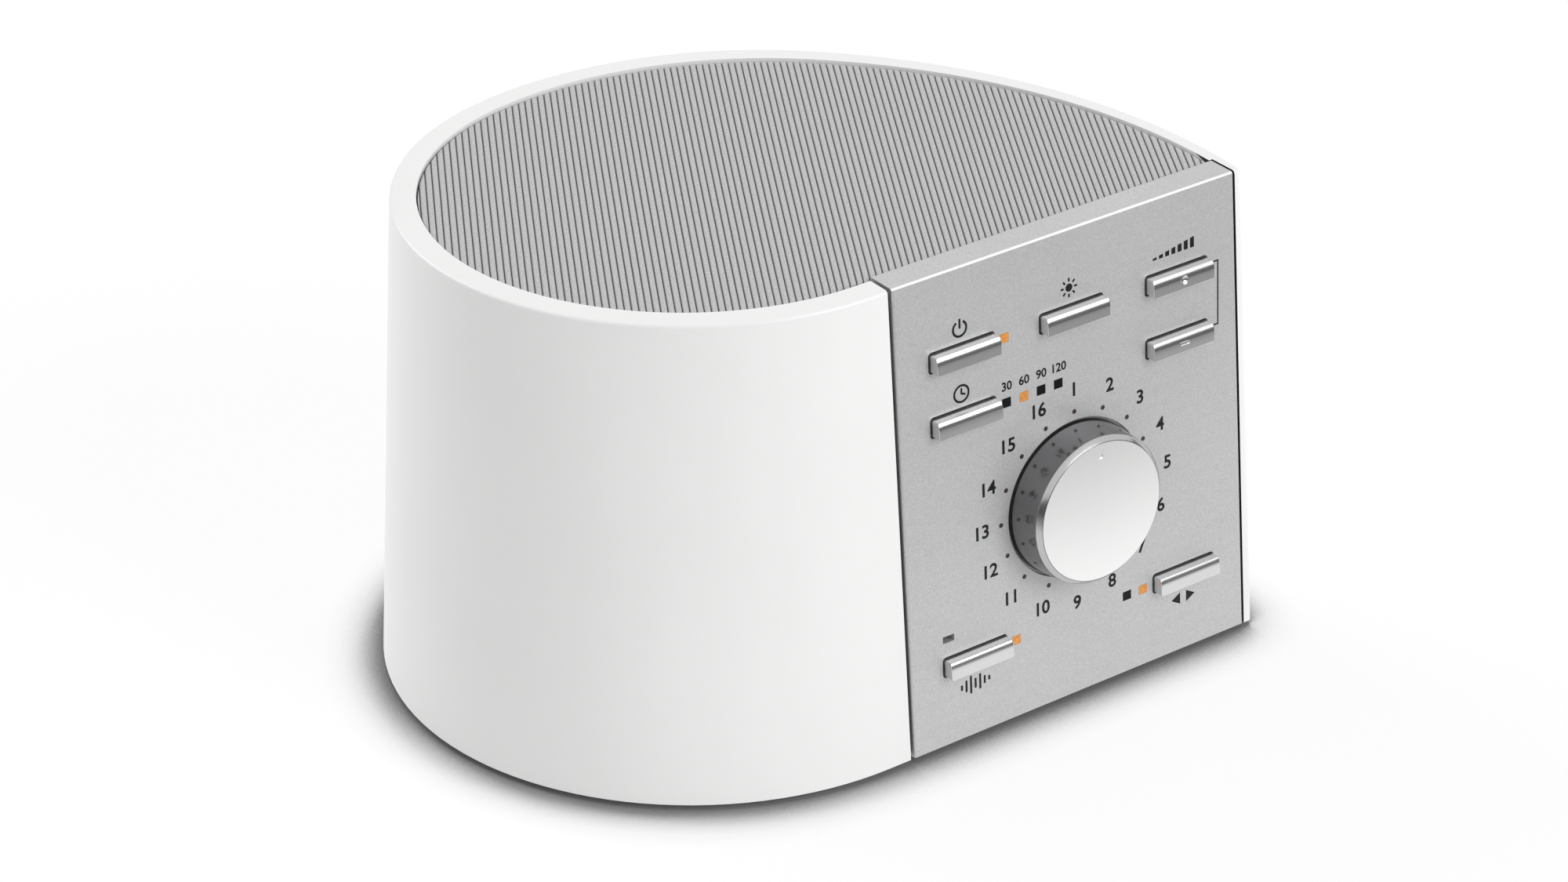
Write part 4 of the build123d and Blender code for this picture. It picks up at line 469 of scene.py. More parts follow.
cloth_radii = LEFT_OPENING_R - CLOTH_GAP, BACK_OPENING_R - CLOTH_GAP, SIDE_OPENING_R - CLOTH_GAP
cloth_edge = plan_outline(cloth_radii, CLOTH_FRONT_Y)

# %% [markdown]
# The ribs all run one way, askew to the panel. The real cloth is one knitted sheet, so it is made as
# one closed sheet: straight lines run across the opening along the ribs, and each line is as long as
# the opening is there. Height is a function of two parameters, across the ribs and along them. Across,
# each rib is a flattened arch with a narrow valley beside it. Along, the sheet dips at both ends,
# where it is tucked in, and its valleys are a little shallower there.

# %% The ribbed sheet
RIB_ANGLE = 60.0
RIB_PITCH = 1.347
RIB_DEPTH = 0.5
POINTS_PER_RIB = 12
CLOTH_TOP = 103.35
CLOTH_THICK = 1.35
TUCK, TUCK_DROP = 0.9, 0.35
VALLEY_KEPT = 1.2
FIRST_LINE_IN = 0.03
UNDERSIDE_STRIDE = 4

along_rib = ray(RIB_ANGLE)
across_rib = ray(RIB_ANGLE - 90)
edge_across = cloth_edge @ across_rib
edge_along = cloth_edge @ along_rib


def chain_ends(across):
    """Where a line along the ribs enters and leaves the opening: both crossings of the closed edge,
    found by cutting the edge at its two extremes and reading each half at the line's place."""
    first, last = sorted([edge_across.argmin(), edge_across.argmax()])
    one_side = np.arange(first, last + 1)
    other_side = np.r_[np.arange(last, len(edge_across)), np.arange(first + 1)]
    halves = []
    for picked in (one_side, other_side):
        order = np.argsort(edge_across[picked], kind="stable")
        halves.append(np.interp(across, edge_across[picked][order], edge_along[picked][order]))
    return np.minimum(*halves), np.maximum(*halves)


def from_crown(across):
    """How far a place across the ribs is from the nearest crown, from 0 there to 1 in the valley."""
    return np.abs((across + RIB_PITCH / 2) % RIB_PITCH / RIB_PITCH - 0.5) * 2


step = RIB_PITCH / POINTS_PER_RIB
across = np.arange(edge_across.min() + FIRST_LINE_IN, edge_across.max() - FIRST_LINE_IN, step)
enter, leave = chain_ends(across)
inset = np.concatenate([[0, 0.08, 0.2, 0.4, 0.65, TUCK], np.linspace(3, 40, 4)])
share = 0.5 * np.linspace(0, 1, len(inset)) ** 0.5
reach = np.minimum(inset[None, :], (leave - enter)[:, None] * share[None, :])
lines = np.concatenate([enter[:, None] + reach, (leave[:, None] - reach)[:, ::-1]], axis=1)
from_edge = np.minimum(lines - enter[:, None], leave[:, None] - lines)

rib = (1 - from_crown(across) ** 3.2) ** 0.5
tucked = TUCK_DROP * np.clip(1 - from_edge / TUCK, 0, 1) ** 2
valley = RIB_DEPTH * (1 - rib)[:, None] * np.clip(VALLEY_KEPT - tucked, 0, 1)
heights = CLOTH_TOP - valley - tucked
flat = lines[..., None] * along_rib + across[:, None, None] * across_rib
upper = np.concatenate([flat, heights[..., None]], axis=-1)
under = upper[:, ::-1][:, ::UNDERSIDE_STRIDE].copy()
under[:, 0] = upper[:, -1]
under[:, -1] = upper[:, 0]
under[..., 2] = CLOTH_TOP - CLOTH_THICK
cloth_rings = np.concatenate([upper, under], axis=1) + [BOWL[0], BOWL[1], 0]
print("ribs:", round((across[-1] - across[0]) / RIB_PITCH), "lines:", len(across))

# %% [markdown]
# The knit is pale on the crown of each rib and painted dark in the valley between two ribs: painted
# shade where the ribs shadow the valley. That painted shade follows the shape, so it is read from an
# attribute of the mesh, which holds how high a point is on its rib. The stitches are a fine noise on the
# UV map, which runs across and along the ribs in millimetres. It tints the yarn and lifts the bump.

# %% Cloth finish
STITCH_SCALE = 3.2
STITCH_DEPTH = 0.0001

grey_cloth = finish("grey_cloth", (0.5, 0.5, 0.5), 0.9, shift=0.02, depth=STITCH_DEPTH)
tree = grey_cloth.node_tree
shader = tree.nodes["Principled BSDF"]
shader.inputs["Sheen Weight"].default_value = 0.15
shader.inputs["Sheen Roughness"].default_value = 0.5
shader.inputs["Specular IOR Level"].default_value = 0.2
crown = add_node(tree, "Attribute")
crown.attribute_name = "crown"
# Painted shade: the colour falls from pale grey on the crowns to near black in the valleys.
shade = add_ramp(tree, (0.035, 0.035, 0.036), (0.53, 0.53, 0.535), 0.1, 0.7)
yarn_place = add_node(tree, "UVMap")
yarn_place.uv_map = "knit"
stitch = add_node(tree, "TexNoise", scale=STITCH_SCALE, detail=4.0, roughness=0.7)
stitch_level = add_node(tree, "MapRange", from_min=0.3, from_max=0.7, to_min=0.6, to_max=1.36)
tree.links.new(crown.outputs["Fac"], shade.inputs["Fac"])
tree.links.new(yarn_place.outputs["UV"], stitch.inputs["Vector"])
tree.links.new(stitch.outputs["Fac"], stitch_level.inputs["Value"])
yarn_and_painted_shade = add_product(tree, shade.outputs["Color"], stitch_level.outputs["Result"])
tree.links.new(yarn_and_painted_shade, shader.inputs["Base Color"])
tree.links.new(stitch.outputs["Fac"], part_of(grey_cloth, "Bump").inputs["Height"])

# %% [markdown]
# Now the sheet becomes a mesh that carries the attribute and the UV map.

# %% Cloth piece
cloth_part = tube_part(cloth_rings)
cloth = build_piece("ribbed_cloth", [cloth_part], "housing", grey_cloth, ("grille_cloth",), crisp=80)
cloth_points = np.zeros(len(cloth.data.vertices) * 3)
cloth.data.vertices.foreach_get("co", cloth_points)
cloth_plan = cloth_points.reshape(-1, 3)[:, :2] / MM - BOWL[:2]
knit_places = np.stack([cloth_plan @ across_rib, cloth_plan @ along_rib], axis=-1)
crown_values = (1 - from_crown(knit_places[:, 0]) ** 2.6).clip(0, 1)
crowns = cloth.data.attributes.new("crown", "FLOAT", "POINT")
crowns.data.foreach_set("value", crown_values.astype(np.float32))
corner_points = np.zeros(len(cloth.data.loops), int)
cloth.data.loops.foreach_get("vertex_index", corner_points)
knit = cloth.data.uv_layers.new(name="knit")
knit.data.foreach_set("uv", knit_places[corner_points].astype(np.float32).ravel())

# %% [markdown]
# Inside the speaker, a corrugated disc of stiffened cloth keeps the cone centred. Its outer landing is
# glued to the basket and its inner collar to the coil, so its waves bend with every stroke. It is a
# profile turned about the cone's axis. The collar lies a little lower than the landing. Two places on
# the axis are worked out, just under the landing and at the collar's depth, and the damper stays as it is
# made.

# %% Speaker damper
DAMPER_LANDING_R, DAMPER_COLLAR_R, DAMPER_BORE_R = 21.0, 12.5, 10.3
DAMPER_DROP, DAMPER_WAVE = 1.2, 0.35
DAMPER_WAVES = 3
DAMPER_STEPS, DAMPER_AROUND = 97, 96
BLEND_MARGIN = 0.05

damper_low, damper_high = (np.array(corner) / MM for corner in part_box("speaker_spider"))
damper_middle = (damper_low + damper_high) / 2
damper_thick = damper_high[2] - damper_low[2]
radius = np.linspace(damper_high[0] - damper_middle[0], DAMPER_BORE_R, DAMPER_STEPS)
fall = np.clip((DAMPER_LANDING_R - radius) / (DAMPER_LANDING_R - DAMPER_COLLAR_R), 0, 1)
waves = DAMPER_WAVE * np.sin(2 * np.pi * DAMPER_WAVES * fall)
under = damper_low[2] - DAMPER_DROP * fall**2 * (3 - 2 * fall) + waves
profile_r = np.concatenate([radius, radius[::-1]])
profile_z = np.concatenate([under + damper_thick, under[::-1]])
around = ray(np.linspace(0, 360, DAMPER_AROUND, endpoint=False))
rings = np.empty((DAMPER_AROUND, len(profile_r), 3))
rings[..., :2] = damper_middle[:2] + around[:, None] * profile_r[:, None]
rings[..., 2] = profile_z
damper_part = rings.reshape(-1, 3), [grid_faces(DAMPER_AROUND, len(profile_r), True, True)]
damper = build_piece("speaker_damper", [damper_part], None, FINISHES["grey_cloth"], ("speaker_spider",))
stays, follows = damper_middle.copy(), damper_middle.copy()
stays[2] = damper_low[2] - BLEND_MARGIN
follows[2] = damper_high[2] - DAMPER_DROP
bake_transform(damper)

# %% [markdown]
# A key is a bar that stands square out of the panel, with a front that falls back softly towards its
# upper edge. A flange keeps it behind the panel, and a stem presses its switch. Its section is worked out
# as a path with its outward directions, and carried along u. At both ends it draws in by
# r - sqrt(r squared - d squared), once a little along the outward directions, which breaks the edge,
# and once more sideways only, which rounds the key's corners. The two volume keys carry a mark that a
# finger can find: a round dimple on one, and a short shallow dash on the other. A mark is given by half
# the length of its dash, its radius and its depth.

# %% Keys
KEY_LENGTH, KEY_HEIGHT, KEY_PROUD = 15.6, 4.0, 2.65
KEY_CORNER_R, KEY_EDGE_R, KEY_CREST_R = 0.5, 0.16, 0.25
KEY_FALL, KEY_FALL_POWER, KEY_FALL_START = 0.5, 3.6, -1.2
KEY_END_RUN = 0.6
KEY_ROOT = 2.45
KEY_FLANGE, KEY_FLANGE_THICK, KEY_FLANGE_CUT = 0.5, 1.0, 0.4
KEY_STEM_R, KEY_STEM_END, KEY_STEM_EASE = 1.5, 5.9, 0.2
KEY_PLACES = {
    "power": (20.75, 84.59),
    "timer": (20.75, 70.79),
    "display": (47.8, 84.59),
    "volume_up": (74.5, 84.59),
    "volume_down": (74.5, 70.79),
    "selection": (75.9, 17.55),
    "adaptive": (22.0, 17.55),
}
TOUCH_MARKS = {"volume_up": (0.0, 0.95, 0.45), "volume_down": (0.85, 0.45, 0.3)}


def key_section():
    """The path in (up, out) and its outward directions. The front falls back towards its upper edge by
    KEY_FALL times t to the power KEY_FALL_POWER, with t from 0 below the middle to 1 at that edge.
    Small arcs join it to the flanks."""
    half = KEY_HEIGHT / 2
    up = np.linspace(-half + KEY_CREST_R, half - KEY_CREST_R, 61)
    fall_run = half - KEY_CREST_R - KEY_FALL_START
    share = np.clip((up - KEY_FALL_START) / fall_run, 0, 1)
    front = np.stack([up, KEY_PROUD - KEY_FALL * share**KEY_FALL_POWER], axis=-1)
    slope = KEY_FALL * KEY_FALL_POWER * share ** (KEY_FALL_POWER - 1) / fall_run
    facing = np.stack([slope, np.ones_like(slope)], axis=-1)
    facing /= np.linalg.norm(facing, axis=1, keepdims=True)
    last = np.arctan2(facing[-1, 1], facing[-1, 0])
    turns = np.linspace(np.pi, np.pi / 2, 9), np.linspace(last, 0, 9)[1:]
    arcs = [np.stack([np.cos(turn), np.sin(turn)], axis=-1) for turn in turns]
    lower = front[0] - KEY_CREST_R * facing[0] + KEY_CREST_R * arcs[0]
    upper = front[-1] - KEY_CREST_R * facing[-1] + KEY_CREST_R * arcs[1]
    foot = np.array([[lower[0, 0], -KEY_ROOT], [upper[-1, 0], -KEY_ROOT]])
    sides = np.array([[-1.0, 0.0], [1.0, 0.0]])
    path = np.concatenate([foot[:1], lower[:-1], front, upper, foot[1:]])
    outward = np.concatenate([sides[:1], arcs[0][:-1], facing, arcs[1], sides[1:]])
    return path, outward


def key_cap(u, w, mark=None):
    """The bar: section point minus its outward direction times the draw-in of its station, then held
    within the corner's own draw-in."""
    path, outward = key_section()
    half = KEY_LENGTH / 2
    round_end = half - KEY_CORNER_R * (1 - np.sin(np.linspace(0, np.pi / 2, 12)))
    plain = half - KEY_END_RUN
    stations = np.concatenate([-round_end[::-1], np.linspace(-plain, plain, 145), round_end])
    edge_depth = np.clip(np.abs(stations) - (half - KEY_EDGE_R), 0, KEY_EDGE_R)
    corner_depth = np.clip(np.abs(stations) - (half - KEY_CORNER_R), 0, KEY_CORNER_R)
    drawn_in = KEY_EDGE_R - np.sqrt(KEY_EDGE_R**2 - edge_depth**2)
    most = path[:, 0].max() - KEY_CORNER_R + np.sqrt(KEY_CORNER_R**2 - corner_depth**2)
    section = path[None] - outward[None] * drawn_in[:, None, None]
    up, out = np.clip(section[..., 0], -most[:, None], most[:, None]), section[..., 1]
    along = np.broadcast_to(stations[:, None], up.shape)
    if mark:
        half_dash, mark_r, mark_depth = mark
        away = np.hypot(np.maximum(np.abs(along) - half_dash, 0), up)
        hollow = np.clip(1 - (away / mark_r) ** 2, 0, 1) ** (0.35 if half_dash else 1.0)
        out = out - mark_depth * hollow * (out > 0)
    return tube_part(on_panel(u + along, w + up, out))


def flange_part(u, w):
    """A flat slab behind the panel: a rectangle with its corners cut, carried inwards in four steps.
    The first and the last are drawn in by a tenth, which breaks the edges."""
    half_u, half_w = KEY_LENGTH / 2 + KEY_FLANGE, KEY_HEIGHT / 2 + KEY_FLANGE
    cut_u, cut_w = half_u - KEY_FLANGE_CUT, half_w - KEY_FLANGE_CUT
    quarter = np.array([[half_u, cut_w], [cut_u, half_w]])
    plan = np.concatenate([quarter, quarter[::-1] * [-1, 1], -quarter, quarter[::-1] * [1, -1]])
    tenth = 0.1
    steps = np.array([0.0, tenth, KEY_FLANGE_THICK - tenth, KEY_FLANGE_THICK])[:, None]
    draw = np.array([tenth, 0.0, 0.0, tenth])[:, None, None]
    slab = plan[None] * (1 - draw * np.array([1 / half_u, 1 / half_w]))
    return tube_part(on_panel(u + slab[..., 0], w + slab[..., 1], -KEY_ROOT - steps))


def stem_part(u, w):
    """A round stem: circles carried inwards from the flange, the last one drawn in a little."""
    turn = np.linspace(0, 2 * np.pi, 32, endpoint=False)
    out = -np.array([KEY_ROOT + KEY_FLANGE_THICK, KEY_STEM_END - KEY_STEM_EASE, KEY_STEM_END])[:, None]
    radius = np.array([KEY_STEM_R, KEY_STEM_R, KEY_STEM_R - KEY_STEM_EASE])[:, None]
    return tube_part(on_panel(u + radius * np.cos(turn), w + radius * np.sin(turn), out))


for label, (u, w) in KEY_PLACES.items():
    parts = [key_cap(u, w, TOUCH_MARKS.get(label)), flange_part(u, w), stem_part(u, w)]
    key = build_piece(f"{label}_key_cap", parts, f"{label}_key", silver_keys, (f"{label}_key",), crisp=30)

# %% [markdown]
# The knob is a polished skirt with a spun disc let into its front. The skirt is one profile turned
# about the knob's axis: a tapering side, a chamfer, the seat of the disc, and the hub inside. Its
# corners are softened by a tenth of a millimetre, because it is those rounded edges, not the flats,
# that catch the light on a real knob. The chamfer has a paler finish of its own.

# %% Knob skirt
SKIRT_PROFILE = [
    (15.2, -0.4), (16.6, -0.4), (15.86, 7.1), (14.86, 8.1), (14.86, 7.1), (3.05, 7.1),
    (3.05, 2.0), (5.0, 2.0), (5.0, 5.7), (14.4, 5.7),
]
SKIRT_EASE = 0.12
BEVEL_OUT, BEVEL_R = 7.15, 14.9

skirt_part = turned_part(KNOB_U, KNOB_W, softened(SKIRT_PROFILE, SKIRT_EASE))
skirt = build_piece("knob_skirt_turned", [skirt_part], "knob", polished_knob, ("knob_skirt",), crisp=50)

middle, _ = face_places(skirt)
from_axis = np.hypot(middle[:, 0] - KNOB_U, middle[:, 1] - KNOB_W)
second_finish(skirt, bright_bevel, (middle[:, 2] > BEVEL_OUT) & (from_axis > BEVEL_R))

# %% [markdown]
# The marks on the panel are printed ink, which is a few hundredths of a millimetre thick. A sign is
# drawn as bands of even width along a path, as filled shapes and discs, and as digits turned from text
# into mesh.

# %% Ink helpers
INK = 0.03
CAPITAL_SHARE = 0.73
STROKE_GROWTH = 0.03


def band_part(path, width, closed=False):
    """A band of ink along a path of (u, w): at each point the side is the mean of the normals of the
    runs that meet there, and the band reaches half its width to both sides."""
    path = np.asarray(path, float)
    runs = np.diff(np.concatenate([path, path[:1]]) if closed else path, axis=0)
    runs /= np.linalg.norm(runs, axis=1, keepdims=True)
    normals = np.stack([-runs[:, 1], runs[:, 0]], axis=-1)
    before = np.concatenate([normals[-1:] if closed else normals[:1], normals])[: len(path)]
    after = np.concatenate([normals, normals[:1] if closed else normals[-1:]])[: len(path)]
    side = (before + after) / 2
    side /= (side**2).sum(axis=1, keepdims=True)
    left, right_side = path + side * width / 2, path - side * width / 2
    loop = np.stack([left, right_side, right_side, left], axis=1)
    rings = on_panel(loop[..., 0], loop[..., 1], np.array([INK, INK, -INK, -INK]))
    if not closed:
        return tube_part(rings)
    return rings.reshape(-1, 3), [grid_faces(len(path), 4, True, True)]


def shape_part(corners):
    """A filled shape of ink with straight sides, from its corners in (u, w): one outline is sunk in the
    face and the other stands on it."""
    across, up = np.asarray(corners, float).T
    return tube_part(on_panel(across, up, np.array([[-INK], [INK]])))


def circle_path(u, w, radius, start=0.0, end=360.0, count=41):
    """Points of a circle or an arc round a place on the panel."""
    turn = np.radians(np.linspace(start, end, count))
    return np.stack([u + radius * np.cos(turn), w + radius * np.sin(turn)], axis=-1)


def disc_part(u, w, radius, around=28):
    """A disc of ink, filled from a circle whose last point isn't the first one again."""
    return shape_part(circle_path(u, w, radius, count=around + 1)[:-1])


def digits_part(text, u, w, height):
    """Plain digits: a text curve is made a mesh, and its points are read and placed on the panel."""
    curve = bpy.data.curves.new("digits", "FONT")
    curve.body = text
    curve.align_x = "CENTER"
    curve.align_y = "CENTER"
    curve.size = height / CAPITAL_SHARE
    curve.extrude = INK
    curve.offset = height * STROKE_GROWTH
    curve.resolution_u = 4
    carrier = bpy.data.objects.new("digits", curve)
    bpy.context.scene.collection.objects.link(carrier)
    made = bpy.data.meshes.new_from_object(carrier)
    flat_points = np.zeros(len(made.vertices) * 3)
    made.vertices.foreach_get("co", flat_points)
    x, y, out = flat_points.reshape(-1, 3).T
    middle_y = (y.min() + y.max()) / 2
    faces = [[list(face.vertices)] for face in made.polygons]
    points = on_panel(u + x, w + y - middle_y, out)
    bpy.data.objects.remove(carrier)
    bpy.data.curves.remove(curve)
    bpy.data.meshes.remove(made)
    return points, faces


# %% [markdown]
# Round the knob there is a dot for each of the sixteen sounds, with its plain number outside it. The
# minutes stand above the timer's windows, and a bracket ties the two volume keys together.

# %% Dial, timer and volume marks
SOUNDS = 16
DOT_RING, DOT_R = 18.9, 0.5
NUMBER_RING, NUMBER_HEIGHT = 23.8, 3.0
FIRST_WINDOW_U, WINDOW_PITCH = 31.35, 4.3
MINUTES_W, MINUTES_HEIGHT, MINUTES_SHIFT = 74.1, 1.9, 0.1
BRACKET = [(82.8, 84.8), (85.3, 84.8), (85.3, 70.9), (82.8, 70.9)]
BRACKET_WIDTH = 0.32

dots, marks = [], []
for number in range(SOUNDS):
    turn = np.radians(90 - 360 / SOUNDS * number)
    dots.append(disc_part(KNOB_U + DOT_RING * cos(turn), KNOB_W + DOT_RING * sin(turn), DOT_R))
    place = KNOB_U + NUMBER_RING * cos(turn), KNOB_W + NUMBER_RING * sin(turn)
    marks.append(digits_part(str(number + 1), *place, NUMBER_HEIGHT))
for number, minutes in enumerate(("30", "60", "90", "120")):
    window_u = FIRST_WINDOW_U + WINDOW_PITCH * number
    marks.append(digits_part(minutes, window_u + MINUTES_SHIFT, MINUTES_W, MINUTES_HEIGHT))
marks.append(band_part(BRACKET, BRACKET_WIDTH))
print("dial marks:", len(dots), "dots and", len(marks), "figures")

# %% [markdown]
# Words give way to signs that need no language. Power has the ring with a bar. The timer has a clock
# face. Display has a sun. Volume has a wedge that grows. Selection has two arrow heads. The key that
# adapts the sound to the room has a row of level bars. Each sign stands above or below its key.

# %% Key signs
def power_sign(u, w):
    """An open ring with a bar through its gap."""
    return [
        band_part(circle_path(u, w - 0.1, 1.6, 120, 420), 0.48),
        band_part([(u, w - 0.05), (u, w + 2.0)], 0.48),
    ]


def clock_sign(u, w):
    """A closed ring with two hands."""
    return [
        band_part(circle_path(u, w, 1.75, 0, 360)[:-1], 0.46, closed=True),
        band_part([(u, w + 1.15), (u, w), (u + 0.95, w - 0.35)], 0.42),
    ]


def sun_sign(u, w):
    """A disc with eight short rays round it."""
    inner, outer = circle_path(u, w, 1.3, 0, 315, 8), circle_path(u, w, 2.05, 0, 315, 8)
    return [disc_part(u, w, 0.85)] + [band_part([a, b], 0.42) for a, b in zip(inner, outer)]


def wedge_sign(u, w):
    """A long wedge that rises to the right, cut into bars of one width."""
    bars, width, foot = 7, 1.0, w - 1
    left_edges = u - 5.4 + np.arange(bars) * 1.6
    corners = [
        [(left, foot), (left + width, foot), (left + width, foot + rise + 0.1), (left, foot + rise - 0.04)]
        for left, rise in zip(left_edges, np.linspace(0.45, 2.2, bars))
    ]
    return [shape_part(bar) for bar in corners]


def arrows_sign(u, w):
    """Two arrow heads that point away from each other."""
    head = np.array([(0.8, -1.3), (3.1, 0.0), (0.8, 1.3)])
    return [shape_part(head + (u, w)), shape_part((u, w) - head)]


def levels_sign(u, w):
    """Seven upright bars of different heights, centred on one line."""
    reaches = (0.6, 1.3, 2.0, 1.1, 1.7, 0.9, 0.5)
    places = u + (np.arange(len(reaches)) - 3) * 1.15
    return [band_part([(at, w - reach), (at, w + reach)], 0.5) for at, reach in zip(places, reaches)]


SIGNS = [
    (power_sign, 20.4, 89.9),
    (clock_sign, 20.4, 76.0),
    (sun_sign, 47.3, 90.3),
    (wedge_sign, 73.9, 90.6),
    (arrows_sign, 75.9, 11.9),
    (levels_sign, 21.9, 11.5),
]
for sign, u, w in SIGNS:
    marks += sign(u, w)

black_ink = finish("black_ink", (0.01, 0.01, 0.011), 0.5, shift=0.2, grain=5000.0, strength=0.3)
part_of(black_ink, "BsdfPrincipled").inputs["Specular IOR Level"].default_value = 0.2
dot_ink = finish("dot_ink", (0.035, 0.018, 0.016), 0.5, shift=0.2, grain=5000.0, strength=0.3)
build_piece("panel_print", marks, "housing", black_ink)
build_piece("dial_dots", dots, "housing", dot_ink)

# %% [markdown]
# Now the pieces that stay as the CAD has them get their finish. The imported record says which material
# each of them is made of, so the finish is looked up by that name.

# %% Finish the CAD pieces
for name, node in NODES.items():
    if node.hide_render:
        continue
    node.data.materials.clear()
    node.data.materials.append(FINISHES[SLOTS[name]])
print("finished", sum(not node.hide_render for node in NODES.values()), "CAD pieces")

# %% [markdown]
# Two of them get a second finish, both painted light. The bend at the top of the panel gets a paler
# colour, a painted highlight, and is found by its facing, half up and half out. The rebate that takes the
# panel is painted near black, painted shade where the deep seams fall dark, so that the seams on both
# sides of the panel read as even dark lines: its walls face the panel's edges, over a ledge.

# %% Second finishes on the panel and the casing
BEND_W, BEND_FACING, BEND_SPREAD = 101, (0.69, 0.73), 0.1
REBATE_LEFT, REBATE_RIGHT = (3.2, 10), (85, 93.5)
REBATE_DEPTH, REBATE_LIP, LEDGE_DEPTH = -9, 0.4, -0.6
WALL_FACING, LEDGE_FACING = 0.6, 0.9

middle, facing = face_places(NODES["front_panel"])
half_turned = (np.abs(facing[:, 1:] - BEND_FACING) < BEND_SPREAD).all(axis=1)
# Painted highlight on the bend at the top of the panel.
second_finish(NODES["front_panel"], painted_highlight_bend, half_turned & (middle[:, 1] > BEND_W))

middle, facing = face_places(NODES["outer_shell"])
left_side = (middle[:, 0] > REBATE_LEFT[0]) & (middle[:, 0] < REBATE_LEFT[1])
right_side = (middle[:, 0] > REBATE_RIGHT[0]) & (middle[:, 0] < REBATE_RIGHT[1])
walls = (left_side & (facing[:, 0] > WALL_FACING)) | (right_side & (facing[:, 0] < -WALL_FACING))
ledge = (left_side | right_side) & (facing[:, 2] > LEDGE_FACING) & (middle[:, 2] < LEDGE_DEPTH)
in_depth = (middle[:, 2] > REBATE_DEPTH) & (middle[:, 2] < REBATE_LIP)
# Painted shade on the rebate's walls and ledge, inside the seams.
second_finish(NODES["outer_shell"], rebate_painted_shade, (walls | ledge) & in_depth)

# %% [markdown]
# The machine stands on a white sweep. To the looking rays the floor adds just enough light of its own
# to read as white, and its plain diffuse part still takes the shadow. Close to the feet that light
# fades with the share of open sky, which draws the contact shadow. In glosses it fades with the
# distance in front of the machine, so that the metal has something darker to reflect.

# %% Floor
FLOOR_REACH = 6
FLOOR_WHITE = (0.81, 0.81, 0.81)
LOOKED_AT_PAPER, LIT_PAPER = 0.2, 0.9
SHADE_DISTANCE = 0.014
SHADE_DARK_END = 0.6
SHADE_STEPS = [(0.67, 0.22), (0.74, 0.6), (0.85, 0.88)]
GLOSS_NEAR_Y, GLOSS_FAR_Y = -0.13, -0.195
GLOSS_NEAR, GLOSS_FAR = 1.1, 0.25

floor_mesh = bpy.data.meshes.new("floor")
corners = FLOOR_REACH * np.array([(-1, -1, 0), (1, -1, 0), (1, 1, 0), (-1, 1, 0)])
floor_mesh.from_pydata(corners.tolist(), [], [(0, 1, 2, 3)])
floor = bpy.data.objects.new("floor", floor_mesh)
bpy.context.scene.collection.objects.link(floor)

paper = bpy.data.materials.new("white_sweep")
paper.use_nodes = True
tree = paper.node_tree
tree.nodes.clear()
path = add_node(tree, "LightPath")
looked_at = looking_rays(tree, path)
spread = add_node(tree, "BsdfDiffuse")
paler = add_node(tree, "MapRange", to_min=LIT_PAPER, to_max=LOOKED_AT_PAPER)
tree.links.new(looked_at, paler.inputs["Value"])
tree.links.new(paler.outputs["Result"], spread.inputs["Color"])

corner_shade = add_node(tree, "AmbientOcclusion", distance=SHADE_DISTANCE)
corner_shade.samples = 8
fade = add_ramp(tree, (0, 0, 0), (1, 1, 1), SHADE_DARK_END)
for position, level_here in SHADE_STEPS:
    fade.color_ramp.elements.new(position).color = (level_here, level_here, level_here, 1)
tree.links.new(corner_shade.outputs["AO"], fade.inputs["Fac"])

place = add_node(tree, "TexCoord")
away = add_node(tree, "SeparateXYZ")
dimmer = add_node(
    tree, "MapRange", from_min=GLOSS_NEAR_Y, from_max=GLOSS_FAR_Y, to_min=GLOSS_NEAR, to_max=GLOSS_FAR
)
tree.links.new(place.outputs["Object"], away.inputs["Vector"])
tree.links.new(away.outputs["Y"], dimmer.inputs["Value"])

shaded = add_node(tree, "Mix")
tree.links.new(path.outputs["Is Camera Ray"], shaded.inputs["Factor"])
tree.links.new(dimmer.outputs["Result"], shaded.inputs["A"])
tree.links.new(fade.outputs["Color"], shaded.inputs["B"])
own = add_node(tree, "Emission", color=(*FLOOR_WHITE, 1))
tree.links.new(add_math(tree, "MULTIPLY", looked_at, shaded.outputs["Result"]), own.inputs["Strength"])
both = add_node(tree, "AddShader")
surface = add_node(tree, "OutputMaterial")
tree.links.new(spread.outputs[0], both.inputs[0])
tree.links.new(own.outputs[0], both.inputs[1])
tree.links.new(both.outputs[0], surface.inputs["Surface"])
floor_mesh.materials.append(paper)
print("floor ready")

# %% [markdown]
# The light comes from two soft boxes, one to the right of the front and one behind to the left, a wide
# weak one overhead, and an even pale world. The world gives only half its light to the diffuse rays.

# %% World and lamps
AMBIENT, BACKDROP = 0.5, 1.0
AIM = Vector((0, 0, 0.05))

world = bpy.data.worlds.new("studio")
bpy.context.scene.world = world
world.use_nodes = True
tree = world.node_tree
ambient = tree.nodes["Background"]
ambient.inputs["Color"].default_value = (1, 1, 1, 1)
ambient.inputs["Strength"].default_value = AMBIENT
backdrop = add_node(tree, "Background", color=(1, 1, 1, 1), strength=BACKDROP)
choose = add_node(tree, "MixShader")
tree.links.new(looking_rays(tree, add_node(tree, "LightPath")), choose.inputs[0])
tree.links.new(ambient.outputs[0], choose.inputs[1])
tree.links.new(backdrop.outputs[0], choose.inputs[2])
tree.links.new(choose.outputs[0], tree.nodes["World Output"].inputs["Surface"])


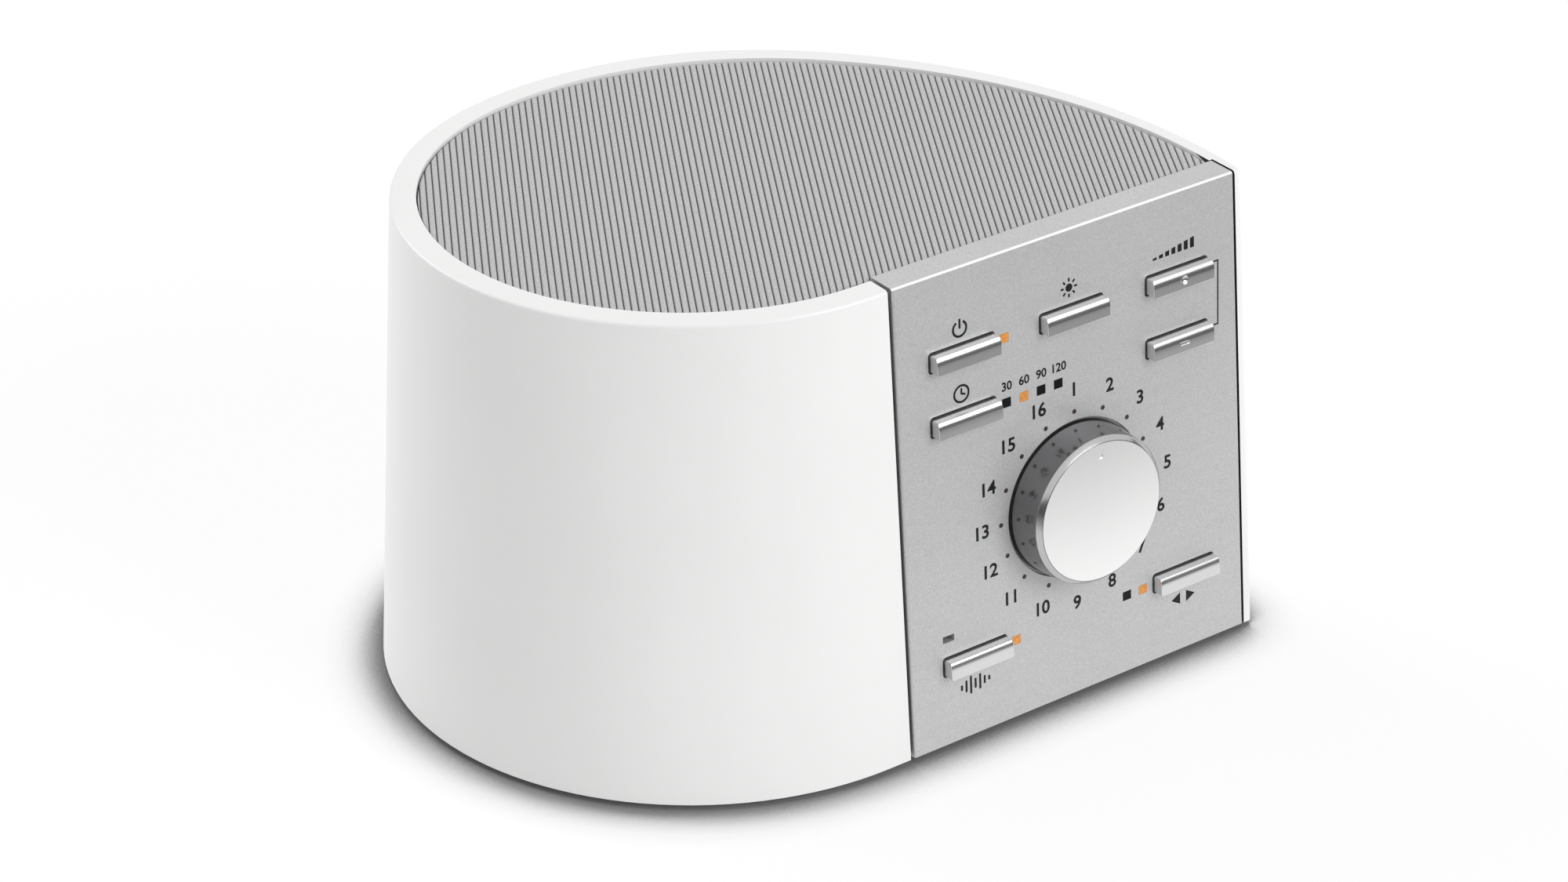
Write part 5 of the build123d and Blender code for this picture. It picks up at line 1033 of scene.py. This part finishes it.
def soft_box(name, place, size, watts):
    """An area lamp that faces the middle of the machine."""
    lamp = bpy.data.lights.new(name, "AREA")
    lamp.shape = "RECTANGLE"
    lamp.size, lamp.size_y = size
    lamp.energy = watts
    holder = bpy.data.objects.new(name, lamp)
    holder.location = place
    holder.rotation_mode = "QUATERNION"
    holder.rotation_quaternion = (AIM - Vector(place)).to_track_quat("-Z", "Y")
    bpy.context.scene.collection.objects.link(holder)


soft_box("front", (0.42, -1.32, 0.8), (0.9, 0.9), 11.6)
soft_box("back_left", (-0.45, 1.23, 0.918), (0.9, 0.9), 8.6)
soft_box("overhead", (0.1, 0.15, 1.3), (1.4, 1.0), 2.3)
bpy.context.scene.view_settings.view_transform = "Standard"
print("world and lamps ready")

# %% [markdown]
# A low dark card stands round the front of the machine. Only glosses see it: it puts a dark line along
# the horizon into the metal, and neither shades the floor nor shows itself.

# %% Dark card
CARD_R, CARD_HEIGHT = 0.42, 0.13
CARD_FROM, CARD_TO, CARD_POINTS = -60, 80, 24
CARD_GREY = (0.12, 0.12, 0.12)

turn = np.radians(np.linspace(CARD_FROM, CARD_TO, CARD_POINTS))
foot_line = np.stack([CARD_R * np.sin(turn), -CARD_R * np.cos(turn), np.zeros(CARD_POINTS)], axis=-1)
card_points = np.concatenate([foot_line, foot_line + [0, 0, CARD_HEIGHT]])
dark_band_mesh = bpy.data.meshes.new("dark_band")
dark_band_mesh.from_pydata(card_points.tolist(), [], grid_faces(2, CARD_POINTS).tolist())
dark_band = bpy.data.objects.new("dark_band", dark_band_mesh)
bpy.context.scene.collection.objects.link(dark_band)
dark_band.visible_camera = dark_band.visible_diffuse = dark_band.visible_shadow = False
dark_band.visible_transmission = dark_band.visible_volume_scatter = False

card = bpy.data.materials.new("dark_card")
card.use_nodes = True
card_shader = card.node_tree.nodes["Principled BSDF"]
card_shader.inputs["Base Color"].default_value = (*CARD_GREY, 1)
card_shader.inputs["Roughness"].default_value = 1.0
dark_band_mesh.materials.append(card)
print("stage ready")
